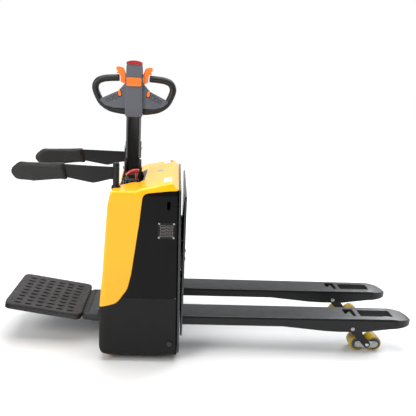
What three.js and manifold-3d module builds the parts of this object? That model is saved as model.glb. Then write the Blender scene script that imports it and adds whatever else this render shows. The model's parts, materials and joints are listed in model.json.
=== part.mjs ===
// Electric pallet truck with a fold-down rider platform, side arms and a tiller, in millimetres, +Z up.
// +X runs to the fork tips, +Y is the truck's left side, and Z = 0 is the floor under the wheels.
// The origin is the middle of the truck's footprint. The forks stand raised and the tiller is turned
// a quarter turn, so its button face looks towards -Y.
import * as THREE from "three";
import { mergeVertices } from "three/addons/utils/BufferGeometryUtils.js";
import Module from "manifold-3d";

const wasm = await Module();
wasm.setup();

// ---------------------------------------------------------------- driving dimensions

const GAP = 0.3; // clearance between pieces that touch
const SIDES = [["right", -1], ["left", 1]]; // the truck's sides, with the sign of their Y
const ENDS = [["rear", -1], ["front", 1]]; // the sign of X

// forks and the plate that carries them
const TIP_X = 1016;
const HEEL_X = -146;
const FORK_TOP_Z = 186;
const FORK_WIDTH = 160;
const FORK_WALL = 6;
const FORK_Y = 190; // centre line of each fork
const FORK_EDGE_Z = 141; // lower edge of the slim stretch
const FORK_BELLY_Z = 118; // lower edge of the deep stretch over the rollers
const FORK_CURVE_X = 906; // where the tip starts to round in plan
const CARRIAGE_THICKNESS = 10;
const CARRIAGE_HALF_WIDTH = 368;
const CARRIAGE_BOTTOM_Z = 125;
const CARRIAGE_TOP_Z = 800;

const LIFT_ROD_X = -236;
const LIFT_ROD_RADIUS = 11;
const LIFT_ROD_BOTTOM_Z = 161; // leaves the rod room to sink 100 mm into its cylinder
const LIFT_LUG_Z = 290; // underside of the ledge that the rod pushes
const LIFT_LUG_DEPTH = 24; // leaves 2 mm below the battery when the lift is fully up
const GUIDE_Y = 250; // guide channels behind the front plate

// tandem load rollers
const ROLLER_RADIUS = 37;
const ROLLER_WIDTH = 72;
const BOGIE_X = 791;
const BOGIE_Z = 41;
const BOGIE_HALF_BASE = 43;
const ARM_PIVOT_X = 701;
const ARM_PIVOT_Z = 136;
const PUSH_PIN_X = ARM_PIVOT_X + 12;
const PUSH_PIN_Z = ARM_PIVOT_Z + 28;

// body covers
const BODY_REAR_X = -539;
const BODY_HALF_WIDTH = 388;
const BODY_BOTTOM_Z = 33;
const BODY_TOP_Z = 857;
const BODY_CORNER = 46; // plan radius of the rear corners
const COVER_WALL = 5;
const SEAM = 1.2; // open seam between neighbouring covers
const SKIRT_TOP_Z = 318;
const FRONT_PLATE_HALF_WIDTH = 392;
const FRONT_PLATE_TOP_Z = 832;
const NOTCH_HALF_WIDTH = 268; // open well in the top cover, round the tiller
const NOTCH_FRONT_X = -348;
const NOTCH_FLOOR_Z = 742;

// drive unit and steering
const STEER_X = -414;
const DECK_Z = 250;
const DECK_THICKNESS = 10;
const DRIVE_WHEEL_RADIUS = 105;
const DRIVE_WHEEL_WIDTH = 66;
const TURNTABLE_Z = 758;
const TILT_Z = 860;

// tiller
const COLUMN_BOTTOM_Z = 906;
const COLUMN_TOP_Z = 1118;
const COLUMN_WIDTH = 64;
const COLUMN_DEPTH = 46;
const HEAD_BOTTOM_Z = 1112;
const HEAD_TOP_Z = 1362;
const HEAD_FRONT_Y = -34;
const HEAD_BACK_Y = 30;
const CAP_TOP_Z = 1380;
const GRIP_RADIUS = 14;
const LEVER_Z = 1312; // shaft of the thumb levers
const ROCKER_X = 70;
const ROCKER_Z = 1226;
const ROCKER_YAW = 0.2; // radians, each rocker's top towards its grip

// casters
const CASTER_X = -464;
const CASTER_Y = 308;
const CASTER_TRAIL = 22;
const CASTER_RADIUS = 40;
const CASTER_WIDTH = 32;
const CASTER_TOP_Z = 150;

// switches beside the tiller, about the console's own middle
const SWITCH_Y = -98;
const KEY_X = -24;
const KEY_Y = 8;
const HANDLE_X = 24;
const HANDLE_Y = -12;

// rider platform
const PLATFORM_HINGE_X = -624;
const PLATFORM_HINGE_Z = 128;
const PLATFORM_LENGTH = 374;
const PLATFORM_HALF_WIDTH = 211;
const PLATFORM_TILT = 8.9; // degrees, the rear edge up
const PLATFORM_EDGE = 22; // from the hinge axis to the platform's front edge
const PLATFORM_DECK_Z = 13; // top of the steel deck above the hinge axis
const PLATFORM_SKIRT_Z = -7;
const MAT_THICKNESS = 10;
const BRACKET_HALF_WIDTH = 170;

// side arms
const POST_X = -469;
const POST_Y = 289;
const POST_RADIUS = 15;
const POST_NECK_RADIUS = 10; // where the arm's sleeve turns
const POST_TOP_Z = 928;
const SLEEVE_BOTTOM_Z = 846;
const SLEEVE_TOP_Z = 908;
const ARM_BAR = 8; // bar thickness
const PAD_THICKNESS = 34;

const COLOURS = {
  yellow: 0xffb91e,
  black: 0x151515,
  frame: 0x1d1e20,
  fork: 0x3b3d42,
  grey: 0x5c5d65,
  orange: 0xff8832,
  red: 0xa31e28,
  steel: 0xa1a7a3,
  rubber: 0x242424,
  polyurethane: 0xc8a400,
  amber: 0xb4641e,
  mat: 0x444245,
  battery: 0x2f3a42,
  copper: 0x6b6f74,
};

// ---------------------------------------------------------------- solids and outlines

function toSolid(geometry) {
  const bare = geometry.clone();
  bare.deleteAttribute("normal");
  bare.deleteAttribute("uv");
  const merged = mergeVertices(bare, 1e-3);
  return new wasm.Manifold(
    new wasm.Mesh({
      numProp: 3,
      vertProperties: merged.attributes.position.array,
      triVerts: new Uint32Array(merged.index.array),
    }),
  );
}

function toGeometry(solid) {
  const mesh = solid.getMesh();
  const geometry = new THREE.BufferGeometry();
  geometry.setAttribute("position", new THREE.BufferAttribute(mesh.vertProperties, 3));
  geometry.setIndex(new THREE.BufferAttribute(mesh.triVerts, 1));
  return geometry;
}

function combine(operation, first, others) {
  const start = toSolid(first);
  return toGeometry(others.reduce((made, other) => made[operation](toSolid(other)), start));
}

const join = (first, ...others) => combine("add", first, others);
const cut = (first, ...tools) => combine("subtract", first, tools);
const common = (first, ...others) => combine("intersect", first, others);

// A closed shape through [u, v, radius] corners. A corner with a radius is rounded.
function outline(corners) {
  const shape = new THREE.Shape();
  corners.forEach(([u, v, radius = 0], i) => {
    const corner = new THREE.Vector2(u, v);
    if (!radius) {
      if (i === 0) shape.moveTo(u, v);
      else shape.lineTo(u, v);
      return;
    }
    const before = new THREE.Vector2(...corners.at(i - 1)).sub(corner).normalize();
    const after = new THREE.Vector2(...corners[(i + 1) % corners.length]).sub(corner).normalize();
    const reach = radius / Math.tan(before.angleTo(after) / 2);
    const start = corner.clone().addScaledVector(before, reach);
    const end = corner.clone().addScaledVector(after, reach);
    if (i === 0) shape.moveTo(start.x, start.y);
    else shape.lineTo(start.x, start.y);
    shape.quadraticCurveTo(u, v, end.x, end.y);
  });
  shape.closePath();
  return shape;
}

const rectangle = (u0, u1, v0, v1, radius = 0) =>
  outline([[u0, v0, radius], [u1, v0, radius], [u1, v1, radius], [u0, v1, radius]]);

// The outline of a flat link: two round ends joined by straight sides.
function linkOutline(u0, v0, r0, u1, v1, r1) {
  const along = Math.atan2(v1 - v0, u1 - u0);
  const distance = Math.hypot(u1 - u0, v1 - v0);
  const side = Math.acos((r0 - r1) / distance);
  const shape = new THREE.Shape();
  shape.absarc(u1, v1, r1, along - side, along + side, false);
  shape.absarc(u0, v0, r0, along + side, along - side + 2 * Math.PI, false);
  shape.closePath();
  return shape;
}

function extrude(shape, depth, segments) {
  return new THREE.ExtrudeGeometry(shape, { depth, bevelEnabled: false, curveSegments: segments });
}

// Slabs: an (x, y) outline along Z, an (x, z) outline along Y and a (y, z) outline along X.
const slabZ = (shape, z0, z1, segments = 4) => extrude(shape, z1 - z0, segments).translate(0, 0, z0);
const slabY = (shape, y0, y1, segments = 4) =>
  extrude(shape, y1 - y0, segments).rotateX(Math.PI / 2).translate(0, y1, 0);
const slabX = (shape, x0, x1, segments = 4) =>
  extrude(shape, x1 - x0, segments)
    .applyMatrix4(new THREE.Matrix4().set(0, 0, 1, 0, 1, 0, 0, 0, 0, 1, 0, 0, 0, 0, 0, 1))
    .translate(x0, 0, 0);

function box(x0, x1, y0, y1, z0, z1) {
  const geometry = new THREE.BoxGeometry(x1 - x0, y1 - y0, z1 - z0);
  return geometry.translate((x0 + x1) / 2, (y0 + y1) / 2, (z0 + z1) / 2);
}

const rod = (length, radius, sides) => new THREE.CylinderGeometry(radius, radius, length, sides);
const rodX = (x0, x1, y, z, radius, sides = 12) =>
  rod(x1 - x0, radius, sides).rotateZ(Math.PI / 2).translate((x0 + x1) / 2, y, z);
const rodY = (x, y0, y1, z, radius, sides = 12) => rod(y1 - y0, radius, sides).translate(x, (y0 + y1) / 2, z);
const rodZ = (x, y, z0, z1, radius, sides = 12) =>
  rod(z1 - z0, radius, sides).rotateX(Math.PI / 2).translate(x, y, (z0 + z1) / 2);

// The same piece made from low to high on one side of the middle, and mirrored on the other.
const mirrored = (low, high, make) =>
  SIDES.map(([, sign]) => make(Math.min(sign * low, sign * high), Math.max(sign * low, sign * high)));

// A wheel about the Y axis through the origin: a tread with chamfered edges and a bore.
function wheelGeometry(radius, width, bore, chamfer, sides) {
  const half = width / 2;
  const profile = [
    [bore, -half],
    [radius - chamfer, -half],
    [radius, -half + chamfer],
    [radius, half - chamfer],
    [radius - chamfer, half],
    [bore, half],
    [bore, -half],
  ];
  return new THREE.LatheGeometry(profile.map(([r, y]) => new THREE.Vector2(r, y)), sides);
}

// A round or oval bar swept along a smooth line through the given points.
function sweep(points, halfWidth, halfHeight, steps, sides = 10) {
  const section = new THREE.Shape();
  section.absellipse(0, 0, halfWidth, halfHeight, 0, 2 * Math.PI, false);
  const path = new THREE.CatmullRomCurve3(points.map((p) => new THREE.Vector3(...p)));
  return new THREE.ExtrudeGeometry(section, { extrudePath: path, steps, curveSegments: sides / 2 });
}

// ---------------------------------------------------------------- the scene graph

const truck = new THREE.Group();

function add(name, geometry, colour, { roughness = 0.5, metalness = 0, parent = truck } = {}) {
  const material = new THREE.MeshStandardMaterial({ color: COLOURS[colour], roughness, metalness });
  const mesh = new THREE.Mesh(geometry, material);
  mesh.name = name;
  parent.add(mesh);
  return mesh;
}

function groupAt(x, y, z) {
  const group = new THREE.Group();
  group.position.set(x, y, z);
  truck.add(group);
  return group;
}

// ---------------------------------------------------------------- forks and lifting plate

// Inverted channel with a deeper belly over the rollers, a rounded and closed tip, the roller opening and a
// hook slot.
function forkGeometry() {
  const half = FORK_WIDTH / 2;
  const side = outline([
    [HEEL_X + GAP, FORK_TOP_Z],
    [HEEL_X + GAP, FORK_EDGE_Z],
    [351, FORK_EDGE_Z],
    [563, FORK_BELLY_Z + 3, 60],
    [630, FORK_BELLY_Z],
    [750, FORK_BELLY_Z, 60],
    [891, 137, 80],
    [TIP_X, 146, 6],
    [TIP_X, 166, 6],
    [985, 178, 60],
    [900, FORK_TOP_Z, 60],
  ]);
  const plan = new THREE.Shape();
  plan.moveTo(HEEL_X, half);
  plan.lineTo(HEEL_X, -half);
  plan.lineTo(FORK_CURVE_X, -half);
  plan.absellipse(FORK_CURVE_X, 0, TIP_X - FORK_CURVE_X, half, -Math.PI / 2, Math.PI / 2, false);
  plan.closePath();
  const inside = new THREE.Shape();
  const innerHalf = half - FORK_WALL;
  inside.moveTo(HEEL_X - 1, innerHalf);
  inside.lineTo(HEEL_X - 1, -innerHalf);
  inside.lineTo(FORK_CURVE_X, -innerHalf);
  inside.absellipse(FORK_CURVE_X, 0, TIP_X - FORK_CURVE_X - 14, innerHalf, -Math.PI / 2, Math.PI / 2, false);
  inside.closePath();
  const underTop = outline([
    [HEEL_X - 2, 80],
    [TIP_X, 80],
    [TIP_X, 154],
    [985, 170],
    [890, FORK_TOP_Z - FORK_WALL],
    [HEEL_X - 2, FORK_TOP_Z - FORK_WALL],
  ]);
  const hollow = common(slabZ(inside, 80, FORK_TOP_Z, 5), slabY(underTop, -half, half));
  const crown = outline([[-half, 90], [half, 90], [half, FORK_TOP_Z, 13], [-half, FORK_TOP_Z, 13]]);
  const hookSlot = outline([[676, -9], [687, -9], [707, 23], [712, -38], [730, -40], [730, 48], [676, 48]]);
  const channel = common(
    slabY(side, -half, half),
    slabZ(plan, 90, FORK_TOP_Z + 1, 6),
    slabX(crown, HEEL_X, TIP_X + 1, 2),
  );
  return cut(
    channel,
    hollow,
    box(750, 916, -38, 38, 170, FORK_TOP_Z + 1),
    slabZ(hookSlot, 170, FORK_TOP_Z + 1),
    rodY(ARM_PIVOT_X, -half - 1, half + 1, ARM_PIVOT_Z, 8.3),
  );
}

// The upright plate, with the ledge that the lift rod pushes on and the shoes for the guide channels.
function carriagePlateGeometry() {
  const w = CARRIAGE_HALF_WIDTH;
  const face = outline([
    [-w, CARRIAGE_BOTTOM_Z, 10],
    [w, CARRIAGE_BOTTOM_Z, 10],
    [w, CARRIAGE_TOP_Z, 16],
    [-w, CARRIAGE_TOP_Z, 16],
  ]);
  return join(
    slabX(face, HEEL_X - CARRIAGE_THICKNESS, HEEL_X),
    box(LIFT_ROD_X - 22, HEEL_X - 2, -26, 26, LIFT_LUG_Z, LIFT_LUG_Z + LIFT_LUG_DEPTH),
    ...mirrored(GUIDE_Y - 9, GUIDE_Y + 9, (y0, y1) => box(-212, HEEL_X - 2, y0, y1, 420, 560)),
  );
}

function addLift() {
  add("carriage_plate", carriagePlateGeometry(), "frame", { metalness: 0.2 });
  const liftRod = rodZ(LIFT_ROD_X, 0, LIFT_ROD_BOTTOM_Z, LIFT_LUG_Z - GAP, LIFT_ROD_RADIUS);
  add("lift_rod", liftRod, "steel", { roughness: 0.15, metalness: 1 });
  for (const [side, sign] of SIDES) {
    const y = sign * FORK_Y;
    add(`fork_${side}`, forkGeometry().translate(0, y, 0), "fork", { roughness: 0.45, metalness: 0.2 });
    add(`load_arm_pin_${side}`, loadArmPinGeometry().translate(0, y, 0), "steel", { metalness: 1 });
  }
}

// ---------------------------------------------------------------- load rollers and their linkage

// The pin on which the load arm swings, with a flat head outside each fork wall.
function loadArmPinGeometry() {
  const half = FORK_WIDTH / 2;
  return join(
    rodY(ARM_PIVOT_X, -half - 1, half + 1, ARM_PIVOT_Z, 8),
    ...mirrored(half + GAP, half + 5, (y0, y1) => rodY(ARM_PIVOT_X, y0, y1, ARM_PIVOT_Z, 10)),
  );
}

// Two cheek plates on a tube round the pivot pin, a lever pair for the push rod and stubs for the bogie.
function loadArmGeometry() {
  const cheek = linkOutline(ARM_PIVOT_X, ARM_PIVOT_Z, 20, BOGIE_X, BOGIE_Z, 17);
  const lever = linkOutline(ARM_PIVOT_X, ARM_PIVOT_Z, 13, PUSH_PIN_X, PUSH_PIN_Z, 7);
  const body = join(
    rodY(ARM_PIVOT_X, -56, 56, ARM_PIVOT_Z, 14),
    ...mirrored(48, 56, (y0, y1) => slabY(cheek, y0, y1, 4)),
    ...mirrored(8, 14, (y0, y1) => slabY(lever, y0, y1, 3)),
    ...mirrored(37.5, 57.5, (y0, y1) => rodY(BOGIE_X, y0, y1, BOGIE_Z, 9, 12)),
    rodY(PUSH_PIN_X, -10, 10, PUSH_PIN_Z, 3.5, 10),
  );
  return cut(body, rodY(ARM_PIVOT_X, -60, 60, ARM_PIVOT_Z, 8.4));
}

// Two plates joined by the two roller axles.
function bogieGeometry() {
  const left = BOGIE_X - BOGIE_HALF_BASE;
  const right = BOGIE_X + BOGIE_HALF_BASE;
  const plate = linkOutline(left, ROLLER_RADIUS, 17, right, ROLLER_RADIUS, 17);
  const plates = mirrored(38, 45, (y0, y1) =>
    cut(slabY(plate, y0, y1, 4), rodY(BOGIE_X, y0 - 1, y1 + 1, BOGIE_Z, 9.5, 12)),
  );
  const axles = [left, right].map((x) => rodY(x, -47, 47, ROLLER_RADIUS, 8, 12));
  return join(axles[0], ...plates, axles[1]);
}

// A round bar under the fork's top, with an eye round the lever pin.
function pushRodGeometry() {
  const eye = linkOutline(PUSH_PIN_X - 40, PUSH_PIN_Z, 7, PUSH_PIN_X, PUSH_PIN_Z, 10.5);
  const rodEnd = cut(slabY(eye, -6, 6, 4), rodY(PUSH_PIN_X, -7, 7, PUSH_PIN_Z, 7.3, 12));
  const start = HEEL_X + 36; // leaves the rod room to slide back
  const heel = rectangle(start, start + 36, PUSH_PIN_Z - 12, PUSH_PIN_Z + 12, 5);
  return join(
    rodX(start + 16, PUSH_PIN_X - 30, 0, PUSH_PIN_Z, 7, 12),
    rodEnd,
    cut(slabY(heel, -8, 8), rodY(start + 12, -9, 9, PUSH_PIN_Z, 5, 10)),
  );
}

function addLoadWheels() {
  for (const [side, sign] of SIDES) {
    const y = sign * FORK_Y;
    add(`load_arm_${side}`, loadArmGeometry().translate(0, y, 0), "frame", { metalness: 0.2 });
    add(`bogie_${side}`, bogieGeometry().translate(0, y, 0), "steel", { roughness: 0.35, metalness: 0.9 });
    add(`push_rod_${side}`, pushRodGeometry().translate(0, y, 0), "steel", { metalness: 0.8 });
    for (const [end, direction] of ENDS) {
      const roller = wheelGeometry(ROLLER_RADIUS, ROLLER_WIDTH, 8.5, 5, 20);
      const mesh = add(`load_roller_${side}_${end}`, roller, "polyurethane");
      mesh.position.set(BOGIE_X + direction * BOGIE_HALF_BASE, y, ROLLER_RADIUS);
    }
  }
}

// ---------------------------------------------------------------- covers

// The body's side view, from the front foot round the bottom, up the rear and along the top.
function bodySideOutline(inset = 0) {
  const front = -168 - inset;
  const frontTop = -183 - inset;
  const bottom = BODY_BOTTOM_Z - inset * 4;
  const rear = BODY_REAR_X + inset;
  return outline([
    [front, bottom, 10],
    [rear, bottom, 46 - inset],
    [rear, 240, 150],
    [-521 + inset, 395, 150],
    [-498 + inset, 750, 60],
    [-484 + inset, 814 - inset, 12],
    [-373, 816 - inset, 8],
    [-356, 826 - inset, 8],
    [-213, BODY_TOP_Z - inset, 6],
    [frontTop, 831 - inset],
  ]);
}

// The body seen from the front: upright sides with a sloping shoulder.
function bodyFrontOutline(inset = 0) {
  const half = BODY_HALF_WIDTH - inset;
  const ridge = 368 - inset / 2;
  const top = BODY_TOP_Z + 20;
  return outline([
    [-half, 0],
    [half, 0],
    [half, 800 - inset, 14],
    [ridge + 2, 838 - inset, 10],
    [ridge - 6, top],
    [-ridge + 6, top],
    [-ridge - 2, 838 - inset, 10],
    [-half, 800 - inset, 14],
  ]);
}

function bodyBlock(inset = 0) {
  const half = BODY_HALF_WIDTH - inset;
  const corner = BODY_CORNER - inset;
  const plan = outline([
    [BODY_REAR_X + inset, -half, corner],
    [-100, -half],
    [-100, half],
    [BODY_REAR_X + inset, half, corner],
  ]);
  return common(
    slabY(bodySideOutline(inset), -half, half, 3),
    slabX(bodyFrontOutline(inset), -600, -100, 2),
    slabZ(plan, 0, 900, 4),
  );
}

// Everything above the line where the yellow hood meets the black covers, in side view.
function hoodOutline(grow) {
  return outline([
    [-650, 268 - grow],
    [-525, 270 - grow, 30],
    [-452 + grow, 290 - grow, 60],
    [-404 + grow, 360 - grow, 90],
    [-388 + grow, 430, 60],
    [-356 + grow, 670, 40],
    [-342 + grow, 806 - grow, 34],
    [-230, 820 - grow, 40],
    [-100, 829 - grow],
    [-100, 950],
    [-650, 950],
  ]);
}

// The well in the hood round the tiller: open to the rear, narrowing towards the front.
function notchOutline(grow = 0) {
  return outline([
    [-600, -NOTCH_HALF_WIDTH - grow],
    [-478, -NOTCH_HALF_WIDTH - grow, 20],
    [-392, -150 - grow, 40],
    [NOTCH_FRONT_X + grow, -172 - grow, 12],
    [NOTCH_FRONT_X + grow, 172 + grow, 12],
    [-392, 150 + grow, 40],
    [-478, NOTCH_HALF_WIDTH + grow, 20],
    [-600, NOTCH_HALF_WIDTH + grow],
  ]);
}

const coverShell = () => cut(bodyBlock(), bodyBlock(COVER_WALL));

function addCovers() {
  const shell = coverShell();
  const hoodRegion = slabY(hoodOutline(0), -500, 500, 3);
  const blackLimit = slabY(hoodOutline(SEAM), -500, 500, 3);
  const postHoles = SIDES.map(([, sign]) => rodZ(POST_X, sign * POST_Y, 700, 900, POST_RADIUS + 3));
  const hood = cut(
    common(shell, hoodRegion),
    slabZ(notchOutline(), NOTCH_FLOOR_Z, 950),
    ...postHoles,
  );
  add("hood_cover", hood, "yellow", { roughness: 0.3 });

  const bracketWindow = box(-600, -500, -BRACKET_HALF_WIDTH - 4, BRACKET_HALF_WIDTH + 4, 98, 146);
  const skirt = cut(
    shell,
    blackLimit,
    box(-700, 0, -500, 500, SKIRT_TOP_Z, 1000),
    box(-184, -100, -300, 300, -100, 1000),
    bracketWindow,
  );
  add("lower_skirt", skirt, "black", { roughness: 0.45 });
  for (const [side, sign] of SIDES) {
    const keep = box(-700, -100, sign > 0 ? 200 : -500, sign > 0 ? 500 : -200, SKIRT_TOP_Z + SEAM, 1000);
    const panel = cut(common(shell, keep), blackLimit, box(-184, -100, -300, 300, 0, 1000));
    add(`side_panel_${side}`, panel, "black", { roughness: 0.4 });
  }
  add("tiller_well", wellGeometry(), "black", { roughness: 0.7 });
}

// The black tray that lines the well, with an opening for the turntable.
function wellGeometry() {
  const outer = slabZ(notchOutline(-1), NOTCH_FLOOR_Z - 8, 805);
  const inner = slabZ(notchOutline(-4), NOTCH_FLOOR_Z - 4, 900);
  const trim = common(outer, slabY(bodySideOutline(COVER_WALL + 1), -400, 400, 6));
  const posts = SIDES.map(([, sign]) => rodZ(POST_X, sign * POST_Y, 700, 900, POST_RADIUS + 1));
  return cut(trim, inner, rodZ(STEER_X, 0, 700, 800, 62, 24), ...posts);
}

// ---------------------------------------------------------------- chassis

// The welded frame: deck, side webs, caster shelves and front foot.
function chassisFrameGeometry() {
  const deck = rectangle(-500, -190, -372, 372, 20);
  return cut(
    join(
      slabZ(deck, DECK_Z - DECK_THICKNESS, DECK_Z),
      ...mirrored(204, 212, (y0, y1) => box(-500, -190, y0, y1, 60, DECK_Z - 2)),
      ...mirrored(210, 372, (y0, y1) => box(-500, -390, y0, y1, CASTER_TOP_Z, CASTER_TOP_Z + 8)),
      ...mirrored(364, 372, (y0, y1) => box(-500, -390, y0, y1, CASTER_TOP_Z + 2, DECK_Z - 2)),
      ...mirrored(116, 212, (y0, y1) => box(-525, -517, y0, y1, 96, 160)),
      box(-525, -498, -212, -204, 96, 160),
      box(-525, -498, 204, 212, 96, 160),
      box(-196, -188, -212, 212, 60, DECK_Z - 2),
    ),
    rodZ(STEER_X, 0, 200, 300, 74, 32),
    box(LIFT_ROD_X - 28, -150, -32, 32, 160, 300),
  );
}

// The transverse plate at the truck's front, leaning back a little, with guide channels on its back.
function frontPlateGeometry() {
  const lean = outline([
    [-168, 48],
    [-158, 48],
    [-172, FRONT_PLATE_TOP_Z],
    [-182, FRONT_PLATE_TOP_Z],
  ]);
  const w = FRONT_PLATE_HALF_WIDTH;
  const face = rectangle(-w, w, 48, FRONT_PLATE_TOP_Z, 12);
  const plate = common(slabY(lean, -w, w), slabX(face, -200, -150));
  const rails = [-20, 12].flatMap((offset) =>
    mirrored(GUIDE_Y + offset, GUIDE_Y + offset + 8, (y0, y1) => box(-226, -170, y0, y1, 295, 600)),
  );
  const slots = mirrored(GUIDE_Y - 12, GUIDE_Y + 12, (y0, y1) => box(-250, -100, y0, y1, 305, 590));
  const corner = common(slabX(face, -240, -150), join(plate, ...rails));
  return cut(corner, ...slots, box(-300, -100, -40, 40, 172, 346));
}

// The hinge bracket of the platform: ears, cross bar and hinge pin.
function platformBracketGeometry() {
  const w = BRACKET_HALF_WIDTH;
  const ear = outline([
    [-640, 112, 10],
    [-525 - GAP, 102],
    [-525 - GAP, 140],
    [-640, 142, 14],
  ]);
  return join(
    ...mirrored(w - 14, w, (y0, y1) => slabY(ear, y0, y1)),
    box(-596, -525 - GAP, -w + 1, w - 1, 104, 138),
    rodY(PLATFORM_HINGE_X, -w + 2, w - 2, PLATFORM_HINGE_Z, 7),
  );
}

function addChassis() {
  const metal = { metalness: 0.3 };
  add("chassis_frame", chassisFrameGeometry(), "frame", metal);
  add("front_plate", frontPlateGeometry(), "frame", metal);
  add("platform_bracket", platformBracketGeometry(), "frame", metal);
}

// ---------------------------------------------------------------- power pack inside the covers

// Battery case with a ribbed lid and two terminal blocks.
function batteryGeometry() {
  return join(
    slabZ(rectangle(-330, -236, -330, 330, 8), 330, 690),
    box(-324, -242, -322, 322, 688, 700),
    ...[-250, 250].map((y) => box(-296, -270, y - 14, y + 14, 698, 714)),
  );
}

function controllerGeometry() {
  const fins = [0, 1, 2, 3].map((i) => box(-322 + i * 22, -314 + i * 22, -350, -230, 310, 322));
  return join(box(-330, -240, -352, -228, DECK_Z + GAP, 312), ...fins);
}

// Pump motor lying along Y with its oil tank.
function pumpUnitGeometry() {
  return join(
    box(-372, -240, 232, 352, DECK_Z - 150, DECK_Z - 60),
    rodY(-306, 214 + GAP, 352, DECK_Z - 40, 30, 20),
  );
}

function liftCylinderGeometry() {
  return cut(
    join(
      rodZ(LIFT_ROD_X, 0, 52, 180, 26, 16),
      rodZ(LIFT_ROD_X, 0, 178, 186, 30, 16),
      rodZ(LIFT_ROD_X, 0, 50, 60, 36, 16),
    ),
    rodZ(LIFT_ROD_X, 0, 58, 200, LIFT_ROD_RADIUS + GAP),
  );
}

function addPowerPack() {
  add("battery", batteryGeometry(), "battery", { roughness: 0.6 });
  add("motor_controller", controllerGeometry(), "copper", { metalness: 0.7 });
  add("pump_unit", pumpUnitGeometry(), "steel", { metalness: 0.6 });
  add("lift_cylinder", liftCylinderGeometry(), "frame", { metalness: 0.4 });
}

// ---------------------------------------------------------------- drive unit

const ringZ = (x, y, z0, z1, outer, inner, sides) =>
  cut(rodZ(x, y, z0, z1, outer, sides), rodZ(x, y, z0 - 1, z1 + 1, inner, sides));

// Gear housing beside the drive wheel, with the stub axle and the swivel flange above.
function gearboxGeometry() {
  const half = DRIVE_WHEEL_WIDTH / 2;
  const plate = linkOutline(0, DRIVE_WHEEL_RADIUS, 46, 0, 190, 40);
  return join(
    slabX(plate, half + 4, half + 30, 8),
    rodX(-half, half + 20, 0, DRIVE_WHEEL_RADIUS, 15),
    box(-30, half + 28, -36, 36, 214, 232),
    rodZ(0, 0, 225, DECK_Z + 12, 70, 24),
  );
}

// Upright traction motor with its brake on top.
function driveMotorGeometry() {
  return join(
    rodZ(0, 0, DECK_Z + 26, 440, 64, 20),
    rodZ(0, 0, DECK_Z + 13, DECK_Z + 30, 78, 20),
    rodZ(0, 0, 438, 452, 68, 20),
    box(-20, 20, -78, -50, 330, 380),
    rodZ(0, 0, 450, 490, 52, 16),
    rodZ(0, 0, 488, 500, 40, 16),
  );
}

// The tube that carries the tiller's steering down to the drive unit, with the turntable on top.
function steeringTubeGeometry() {
  return join(
    ringZ(0, 0, 501, TURNTABLE_Z, 34, 26, 12),
    rodZ(0, 0, TURNTABLE_Z - 6, TURNTABLE_Z + 12, 58, 24),
  );
}

// Two cheeks that hold the tilt pin, on a flared foot.
function tillerBaseGeometry() {
  const cheek = outline([
    [-40, TURNTABLE_Z + 26],
    [40, TURNTABLE_Z + 26],
    [37, TILT_Z - 10, 30],
    [32, TILT_Z + 44, 30],
    [-32, TILT_Z + 44, 30],
    [-37, TILT_Z - 10, 30],
  ]);
  const foot = outline([
    [-52, -40, 18],
    [48, -40, 18],
    [48, 40, 18],
    [-52, 40, 18],
  ]);
  return cut(
    join(
      slabZ(foot, TURNTABLE_Z + 12 + GAP, TURNTABLE_Z + 30),
      ...mirrored(29, 40, (x0, x1) => slabX(cheek, x0, x1)),
      box(-34, 34, -38, -30, TURNTABLE_Z + 28, TILT_Z - 30),
    ),
    rodX(-60, 60, 0, TILT_Z, 9.3),
  );
}

function addDriveUnit() {
  const parent = groupAt(STEER_X, 0, 0);
  const bearing = ringZ(0, 0, DECK_Z + GAP, DECK_Z + 24, 96, 79, 24);
  add("steering_bearing", bearing, "steel", { metalness: 1, parent });
  add("drive_gearbox", gearboxGeometry(), "copper", { metalness: 0.5, parent });
  add("drive_motor", driveMotorGeometry(), "frame", { metalness: 0.4, parent });
  add("steering_tube", steeringTubeGeometry(), "frame", { metalness: 0.4, parent });
  add("tiller_base", tillerBaseGeometry(), "black", { roughness: 0.6, parent });
  add("tilt_pin", tiltPinGeometry(), "steel", { metalness: 1, parent });
  const wheel = wheelGeometry(DRIVE_WHEEL_RADIUS, DRIVE_WHEEL_WIDTH, 15.5, 6, 28).rotateZ(Math.PI / 2);
  add("drive_wheel", wheel.translate(0, 0, DRIVE_WHEEL_RADIUS), "rubber", { roughness: 0.8, parent });
}

const tiltPinGeometry = () =>
  join(rodX(-46, 46, 0, TILT_Z, 9), rodX(40 + GAP, 45, 0, TILT_Z, 13), rodX(-45, -40 - GAP, 0, TILT_Z, 13));

// ---------------------------------------------------------------- tiller

// A channel section with a lug at its foot that turns on the tilt pin.
function columnGeometry() {
  const w = COLUMN_WIDTH / 2;
  const d = COLUMN_DEPTH / 2;
  const groove = rectangle(-w + 9, w - 9, -d - 4, -d + 3, 0);
  const lug = linkOutline(0, TILT_Z, 22, 0, COLUMN_BOTTOM_Z + 6, 20);
  return cut(
    join(
      slabZ(columnSection(), COLUMN_BOTTOM_Z, COLUMN_TOP_Z),
      slabX(lug, -28, 28, 8),
    ),
    slabZ(groove, COLUMN_BOTTOM_Z - 30, COLUMN_TOP_Z + 10),
    rodX(-60, 60, 0, TILT_Z, 9.7),
  );
}

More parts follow.
